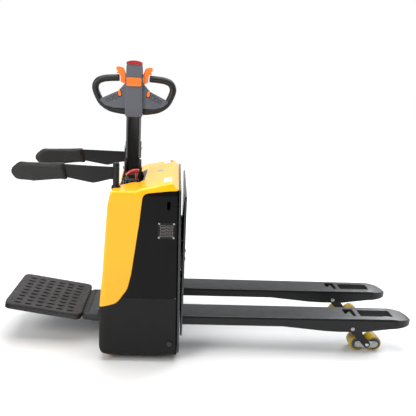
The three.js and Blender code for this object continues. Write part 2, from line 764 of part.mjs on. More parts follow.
// Head housing seen from its button face: waisted body with a triangular wing at each side.
function headGeometry() {
  const body = outline([
    [-40, HEAD_BOTTOM_Z, 10],
    [40, HEAD_BOTTOM_Z, 10],
    [43, 1136, 20],
    [38, HEAD_TOP_Z],
    [-38, HEAD_TOP_Z],
    [-43, 1136, 20],
  ]);
  const wing = (sign) =>
    outline(
      [
        [30, 1160],
        [80, 1160, 30],
        [112, 1170, 20],
        [146, 1198, 5],
        [138, 1207, 5],
        [74, 1237, 20],
        [44, 1274, 30],
        [30, 1290],
      ].map(([x, z, r]) => [sign * x, z, r]),
    );
  const block = slabY(body, HEAD_FRONT_Y, HEAD_BACK_Y, 3);
  const profile = outline([
    [HEAD_FRONT_Y + 6, HEAD_BOTTOM_Z, 6],
    [HEAD_BACK_Y - 6, HEAD_BOTTOM_Z, 6],
    [HEAD_BACK_Y, 1150, 20],
    [HEAD_BACK_Y - 2, HEAD_TOP_Z],
    [HEAD_FRONT_Y + 2, HEAD_TOP_Z],
    [HEAD_FRONT_Y, 1150, 20],
  ]);
  const wings = SIDES.map(([, sign]) => slabY(wing(sign), -18, 14, 3));
  return cut(
    join(common(block, slabX(profile, -60, 60)), ...wings),
    columnSocket(),
    slabY(rectangle(-36.5, 36.5, 1260.5, 1302.5, 6), HEAD_FRONT_Y - 1, HEAD_FRONT_Y + 6),
    box(-38, 38, HEAD_FRONT_Y + 8, HEAD_BACK_Y - 8, HEAD_TOP_Z - 9, HEAD_TOP_Z + 1),
    rodX(-60, 60, -2, LEVER_Z, 7.3),
    ...SIDES.map(([, sign]) => rockerPocket(sign)),
  );
}

// The column's section, grown by a clearance.
const columnSection = (grow = 0) => {
  const w = COLUMN_WIDTH / 2 + grow;
  const d = COLUMN_DEPTH / 2 + grow;
  return rectangle(-w, w, -d, d, 8);
};

// The space in the head's lower end that the column fills.
const columnSocket = () => slabZ(columnSection(GAP), HEAD_BOTTOM_Z - 10, COLUMN_TOP_Z + GAP);

const rockerPocket = (sign) =>
  box(-9, 9, -24, -8, -17, 17).rotateY(sign * ROCKER_YAW).translate(sign * ROCKER_X, 0, ROCKER_Z);

// The centre line of a grip: out of the head's side, round the loop and back towards the thumb lever.
const gripLine = (sign) =>
  [
    [36, 1138],
    [74, 1142],
    [118, 1152],
    [155, 1176],
    [177, 1212],
    [188, 1250],
    [176, 1278],
    [148, 1291],
    [110, 1296],
    [76, 1298],
  ].map(([x, z]) => [sign * x, 0, z]);

function gripGeometry(sign) {
  const tube = sweep(gripLine(sign), GRIP_RADIUS, GRIP_RADIUS + 1, 24);
  const clear = box(-44, 44, -60, 60, 1100, 1200);
  return cut(tube, clear);
}

// A thumb lever: an upright blade beside the head with a hooked top, on the shaft through the head.
function thumbLeverGeometry(sign) {
  const blade = outline(
    [
      [44, 1280, 4],
      [62, 1288, 6],
      [66, 1312, 10],
      [70, 1326, 4],
      [84, 1328, 6],
      [84, 1344, 8],
      [52, 1347, 12],
      [42, 1318, 10],
    ].map(([x, z, r]) => [sign * x, z, r]),
  );
  const [low, high] = [1, 47].map((x) => sign * x).sort((a, b) => a - b);
  return join(slabY(blade, -17, 13), rodX(low, high, -2, LEVER_Z, 7));
}

const hornButtonGeometry = () => slabY(rectangle(-36, 36, 1261, 1302, 6), HEAD_FRONT_Y - 3, HEAD_FRONT_Y + 3);

const rockerGeometry = (sign) =>
  slabY(rectangle(-7, 7, -15, 15, 6), -23, -11)
    .rotateY(sign * ROCKER_YAW)
    .translate(sign * ROCKER_X, 0, ROCKER_Z);

// The belly button: a domed cap on the head's end, with a stem in the head.
function bellyButtonGeometry() {
  const dome = outline([
    [-37.5, HEAD_TOP_Z + 7],
    [37.5, HEAD_TOP_Z + 7],
    [36, CAP_TOP_Z, 10],
    [-36, CAP_TOP_Z, 10],
  ]);
  return join(
    slabY(dome, HEAD_FRONT_Y + 3, HEAD_BACK_Y - 3),
    box(-34, 34, HEAD_FRONT_Y + 11, HEAD_BACK_Y - 11, HEAD_TOP_Z - 1, HEAD_TOP_Z + 8),
  );
}

function addTiller() {
  const parent = groupAt(STEER_X, 0, 0);
  add("tiller_column", columnGeometry(), "black", { roughness: 0.5, parent });
  add("tiller_head", headGeometry(), "grey", { roughness: 0.55, parent });
  add("horn_button", hornButtonGeometry(), "orange", { roughness: 0.4, parent });
  add("belly_button", bellyButtonGeometry(), "red", { roughness: 0.35, parent });
  for (const [side, sign] of ENDS) {
    add(`grip_${side}`, gripGeometry(sign), "rubber", { roughness: 0.8, parent });
    add(`thumb_lever_${side}`, thumbLeverGeometry(sign), "orange", { roughness: 0.4, parent });
    add(`rocker_${side}`, rockerGeometry(sign), "orange", { roughness: 0.4, parent });
  }
}

// ---------------------------------------------------------------- switches beside the tiller

// A small console in the well with the key barrel and the socket of the emergency handle.
function switchConsoleGeometry() {
  return cut(
    join(
      slabZ(rectangle(-42, 48, -26, 24, 8), NOTCH_FLOOR_Z - 4 + GAP, NOTCH_FLOOR_Z + 34),
      rodZ(KEY_X, KEY_Y, NOTCH_FLOOR_Z + 30, NOTCH_FLOOR_Z + 66, 11, 16),
      rodZ(HANDLE_X, HANDLE_Y, NOTCH_FLOOR_Z + 30, NOTCH_FLOOR_Z + 52, 12, 16),
    ),
    box(KEY_X - 2.5, KEY_X + 2.5, KEY_Y - 6, KEY_Y + 6, NOTCH_FLOOR_Z + 50, NOTCH_FLOOR_Z + 80),
    rodZ(HANDLE_X, HANDLE_Y, NOTCH_FLOOR_Z + 10, NOTCH_FLOOR_Z + 60, 6.5, 12),
  );
}

function keyGeometry() {
  const bow = new THREE.Shape();
  bow.absarc(KEY_X, NOTCH_FLOOR_Z + 78, 10, 0, 2 * Math.PI, false);
  return join(
    slabY(bow, KEY_Y - 1.2, KEY_Y + 1.2, 6),
    box(KEY_X - 2, KEY_X + 2, KEY_Y - 1.2, KEY_Y + 1.2, NOTCH_FLOOR_Z + 54, NOTCH_FLOOR_Z + 72),
  );
}

// A T-shaped pull: a stem in its socket and a curved cross bar.
function emergencyHandleGeometry() {
  const bar = [[-22, 841], [-6, 854], [12, 862], [32, 863]];
  return join(
    rodZ(HANDLE_X, HANDLE_Y, NOTCH_FLOOR_Z + 26, NOTCH_FLOOR_Z + 119, 6, 12),
    sweep(bar.map(([x, z]) => [x, HANDLE_Y, z]), 7, 7, 8),
  );
}

function addSwitches() {
  const parent = groupAt(STEER_X, SWITCH_Y, 0);
  add("switch_console", switchConsoleGeometry(), "black", { roughness: 0.6, parent });
  add("ignition_key", keyGeometry(), "steel", { metalness: 0.9, parent });
  add("emergency_handle", emergencyHandleGeometry(), "red", { roughness: 0.35, parent });
}

// ---------------------------------------------------------------- casters

// Swivel fork of a caster about its own king pin: top plate, two legs and the axle.
function casterForkGeometry() {
  const half = CASTER_WIDTH / 2;
  const leg = linkOutline(-CASTER_TRAIL, CASTER_RADIUS, 12, -6, 90, 20);
  return join(
    rodZ(0, 0, 96, CASTER_TOP_Z - 10, 30, 20),
    rodZ(0, 0, CASTER_TOP_Z - 12, CASTER_TOP_Z - GAP, 18, 16),
    ...mirrored(half + 3, half + 8, (y0, y1) => slabY(leg, y0, y1, 6)),
    rodY(-CASTER_TRAIL, -half - 10, half + 10, CASTER_RADIUS, 6),
    box(-24, 16, -half - 8, half + 8, 92, 102),
  );
}

function addCasters() {
  for (const [side, sign] of SIDES) {
    const parent = groupAt(CASTER_X, sign * CASTER_Y, 0);
    add(`caster_fork_${side}`, casterForkGeometry(), "steel", { metalness: 0.8, parent });
    const wheel = add(
      `caster_wheel_${side}`,
      wheelGeometry(CASTER_RADIUS, CASTER_WIDTH, 6.5, 4, 20),
      "amber",
      { parent },
    );
    wheel.position.set(-CASTER_TRAIL, 0, CASTER_RADIUS);
  }
}

// ---------------------------------------------------------------- rider platform

// Steel tray about the hinge axis, lying flat: a deck with a down-turned rim and the hinge barrel.
function platformGeometry() {
  const w = PLATFORM_HALF_WIDTH;
  const rear = -PLATFORM_EDGE - PLATFORM_LENGTH;
  const plan = outline([
    [rear, -w, 38],
    [-PLATFORM_EDGE, -w, 38],
    [-PLATFORM_EDGE, w, 38],
    [rear, w, 38],
  ]);
  const hollow = rectangle(rear + 8, -PLATFORM_EDGE - 8, -w + 8, w - 8, 32);
  const barrelHalf = BRACKET_HALF_WIDTH - 16;
  const web = outline([
    [-60, -4],
    [0, -13],
    [0, 11],
    [-60, PLATFORM_DECK_Z],
  ]);
  return cut(
    join(
      cut(
        slabZ(plan, PLATFORM_SKIRT_Z, PLATFORM_DECK_Z, 6),
        slabZ(hollow, PLATFORM_SKIRT_Z - 1, PLATFORM_DECK_Z - 4, 6),
      ),
      rodY(0, -barrelHalf, barrelHalf, 0, 13, 20),
      slabY(web, -barrelHalf, barrelHalf),
    ),
    rodY(0, -barrelHalf - 1, barrelHalf + 1, 0, 7.3),
  );
}

function matGeometry() {
  const w = PLATFORM_HALF_WIDTH;
  const plan = rectangle(-PLATFORM_EDGE - PLATFORM_LENGTH + 1, -PLATFORM_EDGE - 1, -w + 1, w - 1, 37);
  return slabZ(plan, PLATFORM_DECK_Z + GAP, PLATFORM_DECK_Z + MAT_THICKNESS, 6);
}

function addPlatform() {
  const parent = groupAt(PLATFORM_HINGE_X, 0, PLATFORM_HINGE_Z);
  parent.rotation.y = THREE.MathUtils.degToRad(PLATFORM_TILT);
  add("platform", platformGeometry(), "frame", { metalness: 0.3, parent });
  add("platform_mat", matGeometry(), "mat", { roughness: 0.85, parent });
}

// ---------------------------------------------------------------- posts and side arms

// An upright with a slimmer neck, on which the arm's sleeve turns.
function postGeometry() {
  const r = POST_RADIUS;
  const profile = [
    [0, DECK_Z + GAP],
    [r + 12, DECK_Z + GAP],
    [r + 12, DECK_Z + 8],
    [r, DECK_Z + 8],
    [r, SLEEVE_BOTTOM_Z - GAP],
    [POST_NECK_RADIUS, SLEEVE_BOTTOM_Z - GAP],
    [POST_NECK_RADIUS, SLEEVE_TOP_Z + GAP],
    [r, SLEEVE_TOP_Z + GAP],
    [r, POST_TOP_Z - 8],
    [r - 3, POST_TOP_Z - 2],
    [r - 9, POST_TOP_Z],
    [0, POST_TOP_Z],
  ];
  return new THREE.LatheGeometry(profile.map(([u, v]) => new THREE.Vector2(u, v)), 16).rotateX(Math.PI / 2);
}

// The arm's flat bar in side view, from the post to inside the pad, with its wavy lower edge.
const armBarOutline = (grow = 0) =>
  outline([
    [-458, 850 - grow],
    [-458, 904 + grow],
    [-705, 908 + grow],
    [-880 - grow, 888, 11],
    [-880 - grow, 858, 11],
    [-690, 846 - grow, 60],
    [-573, 826 - grow, 60],
    [-500, 846 - grow, 60],
  ]);

// The pad's side view: slanted inner end, sagging lower edge and a round tip.
const armPadOutline = () =>
  outline([
    [-683, 836, 6],
    [-703, 921, 8],
    [-914, 914, 34],
    [-969, 868, 34],
    [-930, 822, 40],
    [-844, 815, 80],
  ]);

// The arm's gentle inward curve in plan: how far from the middle it lies at x.
const ARM_CURVE = new THREE.SplineCurve(
  [[-420, 273], [-573, 272], [-693, 264], [-844, 249], [-969, 226], [-1000, 218]].map(
    ([x, y]) => new THREE.Vector2(x, y),
  ),
).getPoints(80);

function armOffset(x) {
  const i = ARM_CURVE.findIndex((p, k) => k > 0 && p.x <= x);
  const [a, b] = [ARM_CURVE[i - 1], ARM_CURVE[i]];
  return a.y + ((b.y - a.y) * (x - a.x)) / (b.x - a.x);
}

// A slab in the XZ plane whose long edges have a point every few centimetres, bent round the arm's curve.
// The edges are crowned by a fraction of a millimetre, so that no three points of the outline are in line.
function curvedSlab(shape, thickness, side) {
  const corners = shape.getPoints(5).filter((p, i, all) => p.distanceTo(all.at(i - 1)) > 0.01);
  const points = corners.flatMap((p, i) => {
    const q = corners[(i + 1) % corners.length];
    const pieces = Math.max(1, Math.round(p.distanceTo(q) / 40));
    const outward = new THREE.Vector2(q.y - p.y, p.x - q.x).normalize();
    return Array.from({ length: pieces }, (_, k) =>
      p.clone().lerp(q, k / pieces).addScaledVector(outward, 0.3 * Math.sin((Math.PI * k) / pieces)),
    );
  });
  const slab = slabY(new THREE.Shape(points), -thickness / 2, thickness / 2);
  const position = slab.attributes.position;
  for (let i = 0; i < position.count; i++) {
    position.setY(i, position.getY(i) + side * armOffset(position.getX(i)));
  }
  return slab;
}

function sideArmGeometry(side) {
  const y = side * POST_Y;
  const boreRadius = POST_NECK_RADIUS + GAP;
  const sleeve = ringZ(POST_X, y, SLEEVE_BOTTOM_Z, SLEEVE_TOP_Z, POST_RADIUS, boreRadius, 16);
  const bore = rodZ(POST_X, y, SLEEVE_BOTTOM_Z - 40, SLEEVE_TOP_Z + 40, boreRadius, 16);
  return cut(join(curvedSlab(armBarOutline(), ARM_BAR, side), sleeve), bore);
}

const armPadGeometry = (side) =>
  cut(
    curvedSlab(armPadOutline(), PAD_THICKNESS, side),
    curvedSlab(armBarOutline(1), ARM_BAR + 3, side),
  );

function addSideArms() {
  for (const [name, side] of SIDES) {
    const post = add(`arm_post_${name}`, postGeometry(), "black", { roughness: 0.5, metalness: 0.2 });
    post.position.set(POST_X, side * POST_Y, 0);
    add(`side_arm_${name}`, sideArmGeometry(side), "black", { roughness: 0.4, metalness: 0.3 });
    add(`arm_pad_${name}`, armPadGeometry(side), "rubber", { roughness: 0.8 });
  }
}

// ---------------------------------------------------------------- the whole truck

addChassis();
addCovers();
addPowerPack();
addDriveUnit();
addTiller();
addSwitches();
addCasters();
addPlatform();
addSideArms();
addLift();
addLoadWheels();

export default truck;
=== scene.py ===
"""Electric pallet truck: the looks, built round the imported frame.

Outlines and places are in millimetres in the frame's axes: +X to the fork tips, +Y to the truck's left,
Z = 0 on the floor. Meshes are made in metres. "Right" is the side towards -Y; on the turned tiller, "rear"
is towards -X and "front" towards +X.
"""
import json
import math

import bmesh
import bpy
import numpy as np
from mathutils import Matrix, Vector


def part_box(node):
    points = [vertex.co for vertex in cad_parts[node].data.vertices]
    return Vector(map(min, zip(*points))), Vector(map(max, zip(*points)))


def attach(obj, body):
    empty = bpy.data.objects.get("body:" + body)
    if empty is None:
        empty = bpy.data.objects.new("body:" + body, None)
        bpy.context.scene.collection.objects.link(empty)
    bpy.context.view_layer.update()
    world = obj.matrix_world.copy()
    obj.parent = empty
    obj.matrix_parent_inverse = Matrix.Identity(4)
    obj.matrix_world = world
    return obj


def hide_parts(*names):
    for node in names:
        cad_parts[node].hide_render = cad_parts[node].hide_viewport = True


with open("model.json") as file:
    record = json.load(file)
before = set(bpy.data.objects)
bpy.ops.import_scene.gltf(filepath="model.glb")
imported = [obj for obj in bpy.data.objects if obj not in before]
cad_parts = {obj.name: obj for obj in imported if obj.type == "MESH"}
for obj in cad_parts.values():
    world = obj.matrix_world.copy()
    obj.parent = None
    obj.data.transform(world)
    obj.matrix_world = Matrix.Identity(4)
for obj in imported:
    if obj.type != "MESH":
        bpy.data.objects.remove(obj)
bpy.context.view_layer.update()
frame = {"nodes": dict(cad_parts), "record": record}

MM = 0.001
SIDES = (("right", -1), ("left", 1))
ENDS = (("rear", -1), ("front", 1))

STEER_X = -414
HEEL_X = -146
TIP_X = 1016
FORK_Y = 190
FORK_TOP_Z = 186
ROLLER_RADIUS = 37
BOGIE_X = 791
BOGIE_Z = 41
BOGIE_HALF_BASE = 43
ARM_PIVOT_X = 701
ARM_PIVOT_Z = 136
BODY_REAR_X = -539
BODY_HALF_WIDTH = 388
BODY_TOP_Z = 857
SKIRT_TOP_Z = 318
SEAM = 1.2
NOTCH_HALF_WIDTH = 268
NOTCH_FRONT_X = -348
NOTCH_FLOOR_Z = 742
HEAD_FRONT_Y = -34
HEAD_TOP_Z = 1362
LEVER_Z = 1312
PLATFORM_HINGE_X = -624
PLATFORM_HINGE_Z = 128
PLATFORM_TILT = 8.9
PLATFORM_DECK_Z = 13
POST_X = -469
POST_Y = 289
CAMERA_PLACE = (-0.206, -2.8775, 1.3212)
CAMERA_YAW, CAMERA_PITCH, CAMERA_ROLL = 0.0617, 0.2239, 0.0465
CAMERA_LENS = 49.8
SIM_FRAMES = 20
PAD_PRESSURE = 4
PAD_SWELL = 4.5


def middle_of(node):
    """The middle of a CAD node's box, in millimetres."""
    low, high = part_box(node)
    return (low / MM + high / MM) / 2


def linked(name, data):
    """A new object in the scene."""
    obj = bpy.data.objects.new(name, data)
    bpy.context.scene.collection.objects.link(obj)
    return obj


# ------------------------------------------------------------------ outlines

def rounded(corners, steps=8):
    """A closed outline through (u, v) or (u, v, radius) corners; a corner with a radius is rounded."""
    flat = [Vector(c[:2]) for c in corners]
    points = []
    for i, corner in enumerate(flat):
        radius = corners[i][2] if len(corners[i]) > 2 else 0
        if not radius:
            points.append(corner)
            continue
        before = (flat[i - 1] - corner).normalized()
        after = (flat[(i + 1) % len(flat)] - corner).normalized()
        reach = radius / math.tan(before.angle(after) / 2)
        start = corner + before * reach
        end = corner + after * reach
        for k in range(steps + 1):
            t = k / steps
            points.append(start * (1 - t) ** 2 + corner * (2 * t * (1 - t)) + end * t ** 2)
    return [p for i, p in enumerate(points) if (p - points[i - 1]).length > 0.02]


def rectangle(u0, u1, v0, v1, radius=0, steps=8):
    return rounded([(u0, v0, radius), (u1, v0, radius), (u1, v1, radius), (u0, v1, radius)], steps)


def circle(u, v, radius, steps=48):
    turns = [2 * math.pi * k / steps for k in range(steps)]
    return [Vector((u + radius * math.cos(a), v + radius * math.sin(a))) for a in turns]


def oval(u, v, half_u, half_v, steps=32):
    return [Vector((u + half_u * p.x, v + half_v * p.y)) for p in circle(0, 0, 1, steps)]


def link(u0, v0, r0, u1, v1, r1, steps=16):
    """The outline of a flat link: two round ends joined by straight sides."""
    along = math.atan2(v1 - v0, u1 - u0)
    side = math.acos((r0 - r1) / math.hypot(u1 - u0, v1 - v0))
    points = []
    for u, v, r, start, sweep_angle in (
        (u1, v1, r1, along - side, 2 * side),
        (u0, v0, r0, along + side, 2 * math.pi - 2 * side),
    ):
        for k in range(steps + 1):
            a = start + sweep_angle * k / steps
            points.append(Vector((u + r * math.cos(a), v + r * math.sin(a))))
    return points


def both_ways(half):
    """A lathe profile from its half, (radius, distance from the middle) points going outwards, and its mirror."""
    return [*[(r, -w) for r, w in half], *[(r, w) for r, w in reversed(half)]]


def smooth_line(points, steps):
    """Points along a smooth line through the given ones, steps from each to the next."""
    p = [Vector(q) for q in points]
    p = [2 * p[0] - p[1], *p, 2 * p[-1] - p[-2]]
    line = []
    for a, b, c, d in zip(p, p[1:], p[2:], p[3:]):
        for k in range(steps):
            t = k / steps
            line.append(0.5 * (2 * b + (c - a) * t + (2 * a - 5 * b + 4 * c - d) * t * t
                               + (3 * b - a - 3 * c + d) * t ** 3))
    return [*line, p[-2]]


# ------------------------------------------------------------------ solids

def solid(vertices, faces):
    """An object from points in millimetres, with coinciding points merged and its faces turned outwards."""
    mesh = bpy.data.meshes.new("solid")
    mesh.from_pydata([Vector(v) * MM for v in vertices], [], faces)
    return tidy(linked("solid", mesh))


def tidy(obj, flat_angle=None):
    made = bmesh.new()
    made.from_mesh(obj.data)
    bmesh.ops.remove_doubles(made, verts=made.verts, dist=2e-6)
    if flat_angle is not None:
        bmesh.ops.dissolve_limit(made, angle_limit=math.radians(flat_angle), verts=made.verts, edges=made.edges)
    bmesh.ops.recalc_face_normals(made, faces=made.faces)
    made.to_mesh(obj.data)
    made.free()
    return obj


PLACE = {
    "x": lambda u, v, w: (w, u, v),
    "y": lambda u, v, w: (u, w, v),
    "z": lambda u, v, w: (u, v, w),
}


def prism(outline, axis, low, high):
    """The outline, in the plane across the axis, pushed from low to high along it."""
    n = len(outline)
    vertices = [PLACE[axis](p[0], p[1], w) for w in (low, high) for p in outline]
    faces = [tuple(range(n)), tuple(range(n, 2 * n))]
    faces += [(i, (i + 1) % n, n + (i + 1) % n, n + i) for i in range(n)]
    return solid(vertices, faces)


def slab(outline, side, near, far):
    """The outline pushed from near to far out along Y, on one side of the middle."""
    return prism(outline, "y", *sorted((side * near, side * far)))


def block(x0, x1, y0, y1, z0, z1):
    return prism(rectangle(x0, x1, y0, y1), "z", z0, z1)


def rod(axis, u, v, low, high, radius, steps=48):
    return prism(circle(u, v, radius, steps), axis, low, high)


def lathe(profile, axis, centre, steps=64, closed=False):
    """A (radius, along) profile turned about an axis through centre. Open profiles start and end on it."""
    rings = []
    for r, along in profile:
        for k in range(steps):
            a = 2 * math.pi * k / steps
            rings.append(Vector(PLACE[axis](r * math.cos(a), r * math.sin(a), along)) + Vector(centre))
    last = len(profile) if closed else len(profile) - 1
    faces = []
    for i in range(last):
        j = (i + 1) % len(profile)
        for k in range(steps):
            m = (k + 1) % steps
            faces.append((i * steps + k, i * steps + m, j * steps + m, j * steps + k))
    return solid(rings, faces)


def sweep(line, section, side, round_end=0.0):
    """A section, as (a, b) points, carried along a line: a is along side, b across it and the line."""
    side = Vector(side).normalized()
    rings = []
    for i, p in enumerate(line):
        ahead = (line[min(i + 1, len(line) - 1)] - line[max(i - 1, 0)]).normalized()
        a_axis = (side - ahead * side.dot(ahead)).normalized()
        rings.append((p, a_axis, ahead.cross(a_axis), ahead, 1.0))
    if round_end:
        first, last = rings[0], rings[-1]
        size = max(abs(a) for a, b in section)
        for turn in (0.35, 0.8, 1.2):
            drop = 1 - (round_end / size) * (1 - math.cos(turn))
            reach = round_end * math.sin(turn)
            rings.insert(0, (first[0] - first[3] * reach, *first[1:4], drop))
            rings.append((last[0] + last[3] * reach, *last[1:4], drop))
    n = len(section)
    vertices = [p + (u * a + v * b) * s for p, u, v, _, s in rings for a, b in section]
    faces = [tuple(range(n)), tuple(range((len(rings) - 1) * n, len(rings) * n))]
    for i in range(len(rings) - 1):
        for k in range(n):
            m = (k + 1) % n
            faces.append((i * n + k, i * n + m, (i + 1) * n + m, (i + 1) * n + k))
    return solid(vertices, faces)


def apply_modifiers(obj):
    evaluated = obj.evaluated_get(bpy.context.evaluated_depsgraph_get())
    mesh = bpy.data.meshes.new_from_object(evaluated)
    obj.modifiers.clear()
    obj.data = mesh
    return obj


def boolean(obj, operation, tools):
    for tool in tools:
        modifier = obj.modifiers.new("boolean", "BOOLEAN")
        modifier.operation = operation
        modifier.solver = "EXACT"
        modifier.object = tool
        apply_modifiers(obj)
        bpy.data.objects.remove(tool)
    return obj


def join(obj, *others):
    return boolean(obj, "UNION", others)


def cut(obj, *tools):
    return boolean(obj, "DIFFERENCE", tools)


def common(obj, *others):
    return boolean(obj, "INTERSECT", others)


def gather(objects):
    """Separate solids as one object, without joining their surfaces."""
    made = bmesh.new()
    for obj in objects:
        made.from_mesh(obj.data)
    first, *rest = objects
    made.to_mesh(first.data)
    made.free()
    for obj in rest:
        bpy.data.objects.remove(obj)
    return first


def twin(obj):
    other = obj.copy()
    other.data = obj.data.copy()
    bpy.context.scene.collection.objects.link(other)
    return other


def moved(obj, x=0, y=0, z=0):
    obj.data.transform(Matrix.Translation(Vector((x, y, z)) * MM))
    return obj


def turned(obj, degrees, axis, about):
    place = Matrix.Translation(Vector(about) * MM)
    obj.data.transform(place @ Matrix.Rotation(math.radians(degrees), 4, axis) @ place.inverted())
    return obj


def mirrored_copy(obj, axis):
    """A copy of the piece mirrored in the plane through the origin, or through the tiller, across the axis."""
    scale = Matrix.Scale(-1, 4, Vector((axis == "x", axis == "y", axis == "z")))
    about = Matrix.Translation(Vector((STEER_X * MM if axis == "x" else 0, 0, 0)))
    other = twin(obj)
    other.data.transform(about @ scale @ about.inverted())
    other.data.flip_normals()
    return other


def remeshed(obj, voxel):
    remesh = obj.modifiers.new("remesh", "REMESH")
    remesh.mode = "VOXEL"
    remesh.voxel_size = voxel * MM
    return obj


def soften(obj, voxel, rounds):
    """A moulded piece: remeshed evenly and relaxed, so that every edge is rounded."""
    remeshed(obj, voxel * (1))
    relax = obj.modifiers.new("relax", "SMOOTH")
    relax.factor = 0.5
    relax.iterations = rounds
    return apply_modifiers(obj)


# ------------------------------------------------------------------ pieces

def piece(obj, name, body, paint, stands_for=(), bevel=0.0, sharp=35, segments=2):
    """Names and paints a finished solid, rounds its edges, and makes it ride on a body."""
    shader, slot = paint
    obj.name = name
    obj.data.name = name
    obj.data.materials.clear()
    obj.data.materials.append(shader)
    obj.data.shade_smooth()
    if bevel:
        edge = obj.modifiers.new("edge", "BEVEL")
        edge.width = bevel * MM
        edge.segments = segments
        edge.limit_method = "ANGLE"
        edge.angle_limit = math.radians(sharp)
        edge.harden_normals = True
    else:
        obj.data.set_sharp_from_angle(angle=math.radians(sharp))
    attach(obj, body)
    if stands_for:
        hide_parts(*([stands_for] if isinstance(stands_for, str) else stands_for))
    return obj


def body_of(node):
    return next(b for b, nodes in frame["record"]["behaviour"]["bodies"].items() if node in nodes)


def refined(node, paint, bevel=1.0):
    """A copy of a CAD node with its flat areas merged and its edges rounded; it stands for the node."""
    obj = tidy(linked("copy", frame["nodes"][node].data.copy()), flat_angle=1)
    return piece(obj, f"{node}_shape", body_of(node), paint, node, bevel)


# ------------------------------------------------------------------ materials

def rgb(code, gain=1.0):
    """An sRGB hex colour as linear RGBA."""
    shares = [int(code[i:i + 2], 16) / 255 for i in (1, 3, 5)]
    linear = [c / 12.92 if c <= 0.04045 else ((c + 0.055) / 1.055) ** 2.4 for c in shares]
    return (*[min(1.0, c * gain) for c in linear], 1.0)


def add_node(tree, kind, settings=(), **inputs):
    """A shader node with its settings and inputs; an input is a number, a colour or another node's socket."""
    node = tree.nodes.new("ShaderNode" + kind)
    for name, value in settings:
        setattr(node, name, value)
    for name, value in inputs.items():
        feed(tree, node.inputs[name.replace("_", " ")], value)
    return node


def feed(tree, socket, value):
    if isinstance(value, bpy.types.NodeSocket):
        tree.links.new(value, socket)
    else:
        socket.default_value = value


class Surface:
    """A material's node tree, with short ways to add what most of them share."""

    def __init__(self, name):
        self.material = bpy.data.materials.new(name)
        self.material.use_nodes = True
        self.tree = self.material.node_tree
        self.tree.nodes.clear()
        self.shader = self.node("BsdfPrincipled")
        self.node("OutputMaterial", Surface=self.shader.outputs["BSDF"])
        self.place = self.node("TexCoord").outputs["Object"]
        self.facing = self.node("NewGeometry").outputs["Normal"]

    def node(self, kind, settings=(), **inputs):
        return add_node(self.tree, kind, settings, **inputs)

    def stretched(self, x, y, z):
        """The object's coordinates scaled along each axis."""
        return self.node("Mapping", Scale=(x, y, z), Vector=self.place).outputs["Vector"]

    def noise(self, scale, detail=4.0, place=None):
        return self.node("TexNoise", Scale=scale, Detail=detail, Vector=place or self.place).outputs["Fac"]

    def spread(self, value, low, high, to_low, to_high):
        """The value carried from the range low to high onto the range to_low to to_high."""
        node = self.node("MapRange", Value=value, From_Min=low, From_Max=high, To_Min=to_low, To_Max=to_high)
        return node.outputs["Result"]

    def math(self, operation, a, b=0.0):
        node = self.node("Math", [("operation", operation)])
        feed(self.tree, node.inputs[0], a)
        feed(self.tree, node.inputs[1], b)
        return node.outputs[0]

    def mix(self, factor, a, b):
        node = self.node("Mix", [("data_type", "RGBA")])
        for place, value in ((0, factor), (6, a), (7, b)):
            feed(self.tree, node.inputs[place], value)
        return node.outputs[2]

    def bump(self, height, depth, normal=None):
        """A surface that the height raises by up to depth millimetres."""
        under = {"Normal": normal} if normal else {}
        return self.node("Bump", Distance=depth * MM, Height=height, **under).outputs["Normal"]

    def rounded_edge(self, radius):
        return self.node("Bevel", [("samples", 4)], Radius=radius * MM).outputs["Normal"]

    def edges(self, radius):
        """1 on sharp edges, 0 away from them."""
        node = self.node("VectorMath", [("operation", "DOT_PRODUCT")])
        feed(self.tree, node.inputs[0], self.rounded_edge(radius))
        feed(self.tree, node.inputs[1], self.facing)
        return self.spread(node.outputs["Value"], 0.995, 0.8, 0.0, 1.0)

    def upward(self):
        """1 on surfaces that face up, 0 on the rest."""
        node = self.node("SeparateXYZ", Vector=self.facing)
        return self.spread(node.outputs["Z"], 0.3, 1.0, 0.0, 1.0)

    def set(self, **values):
        for name, value in values.items():
            feed(self.tree, self.shader.inputs[name.replace("_", " ")], value)
        return self.material


def finish_of(name, colour, roughness, mottle=0.07, mottle_scale=6.0, grain=0.0, grain_scale=900.0,
              rough_spread=0.12, edge=0.0, wear=0.0, wear_colour="#8f9294", dust=0.0, **constants):
    """A painted, moulded or plated surface: mottled colour, grain, rounded edges, worn edges and dust."""
    s = Surface(name)
    broad = s.noise(mottle_scale, 5)
    tone = s.mix(s.spread(broad, 0.3, 0.7, 0, 1), rgb(colour, 1 - mottle), rgb(colour, 1 + mottle))
    rough = s.spread(s.noise(mottle_scale * 4, 6), 0.25, 0.75, roughness - rough_spread / 2,
                     roughness + rough_spread / 2)
    if wear:
        rubbed = s.math("MULTIPLY", s.edges(2.5), s.spread(s.noise(90, 6), 0.42, 0.62, 0, wear))
        tone = s.mix(rubbed, tone, rgb(wear_colour))
    if dust:
        settled = s.math("MULTIPLY", s.upward(), s.spread(s.noise(22, 7), 0.35, 0.7, 0, dust))
        tone = s.mix(settled, tone, rgb("#8c877e"))
        rough = s.math("ADD", rough, s.math("MULTIPLY", settled, 0.3))
    normal = s.rounded_edge(edge) if edge else None
    if grain:
        normal = s.bump(s.noise(grain_scale, 3), grain, normal)
    s.set(Base_Color=tone, Roughness=rough)
    if normal:
        s.set(Normal=normal)
    return s.set(**constants)


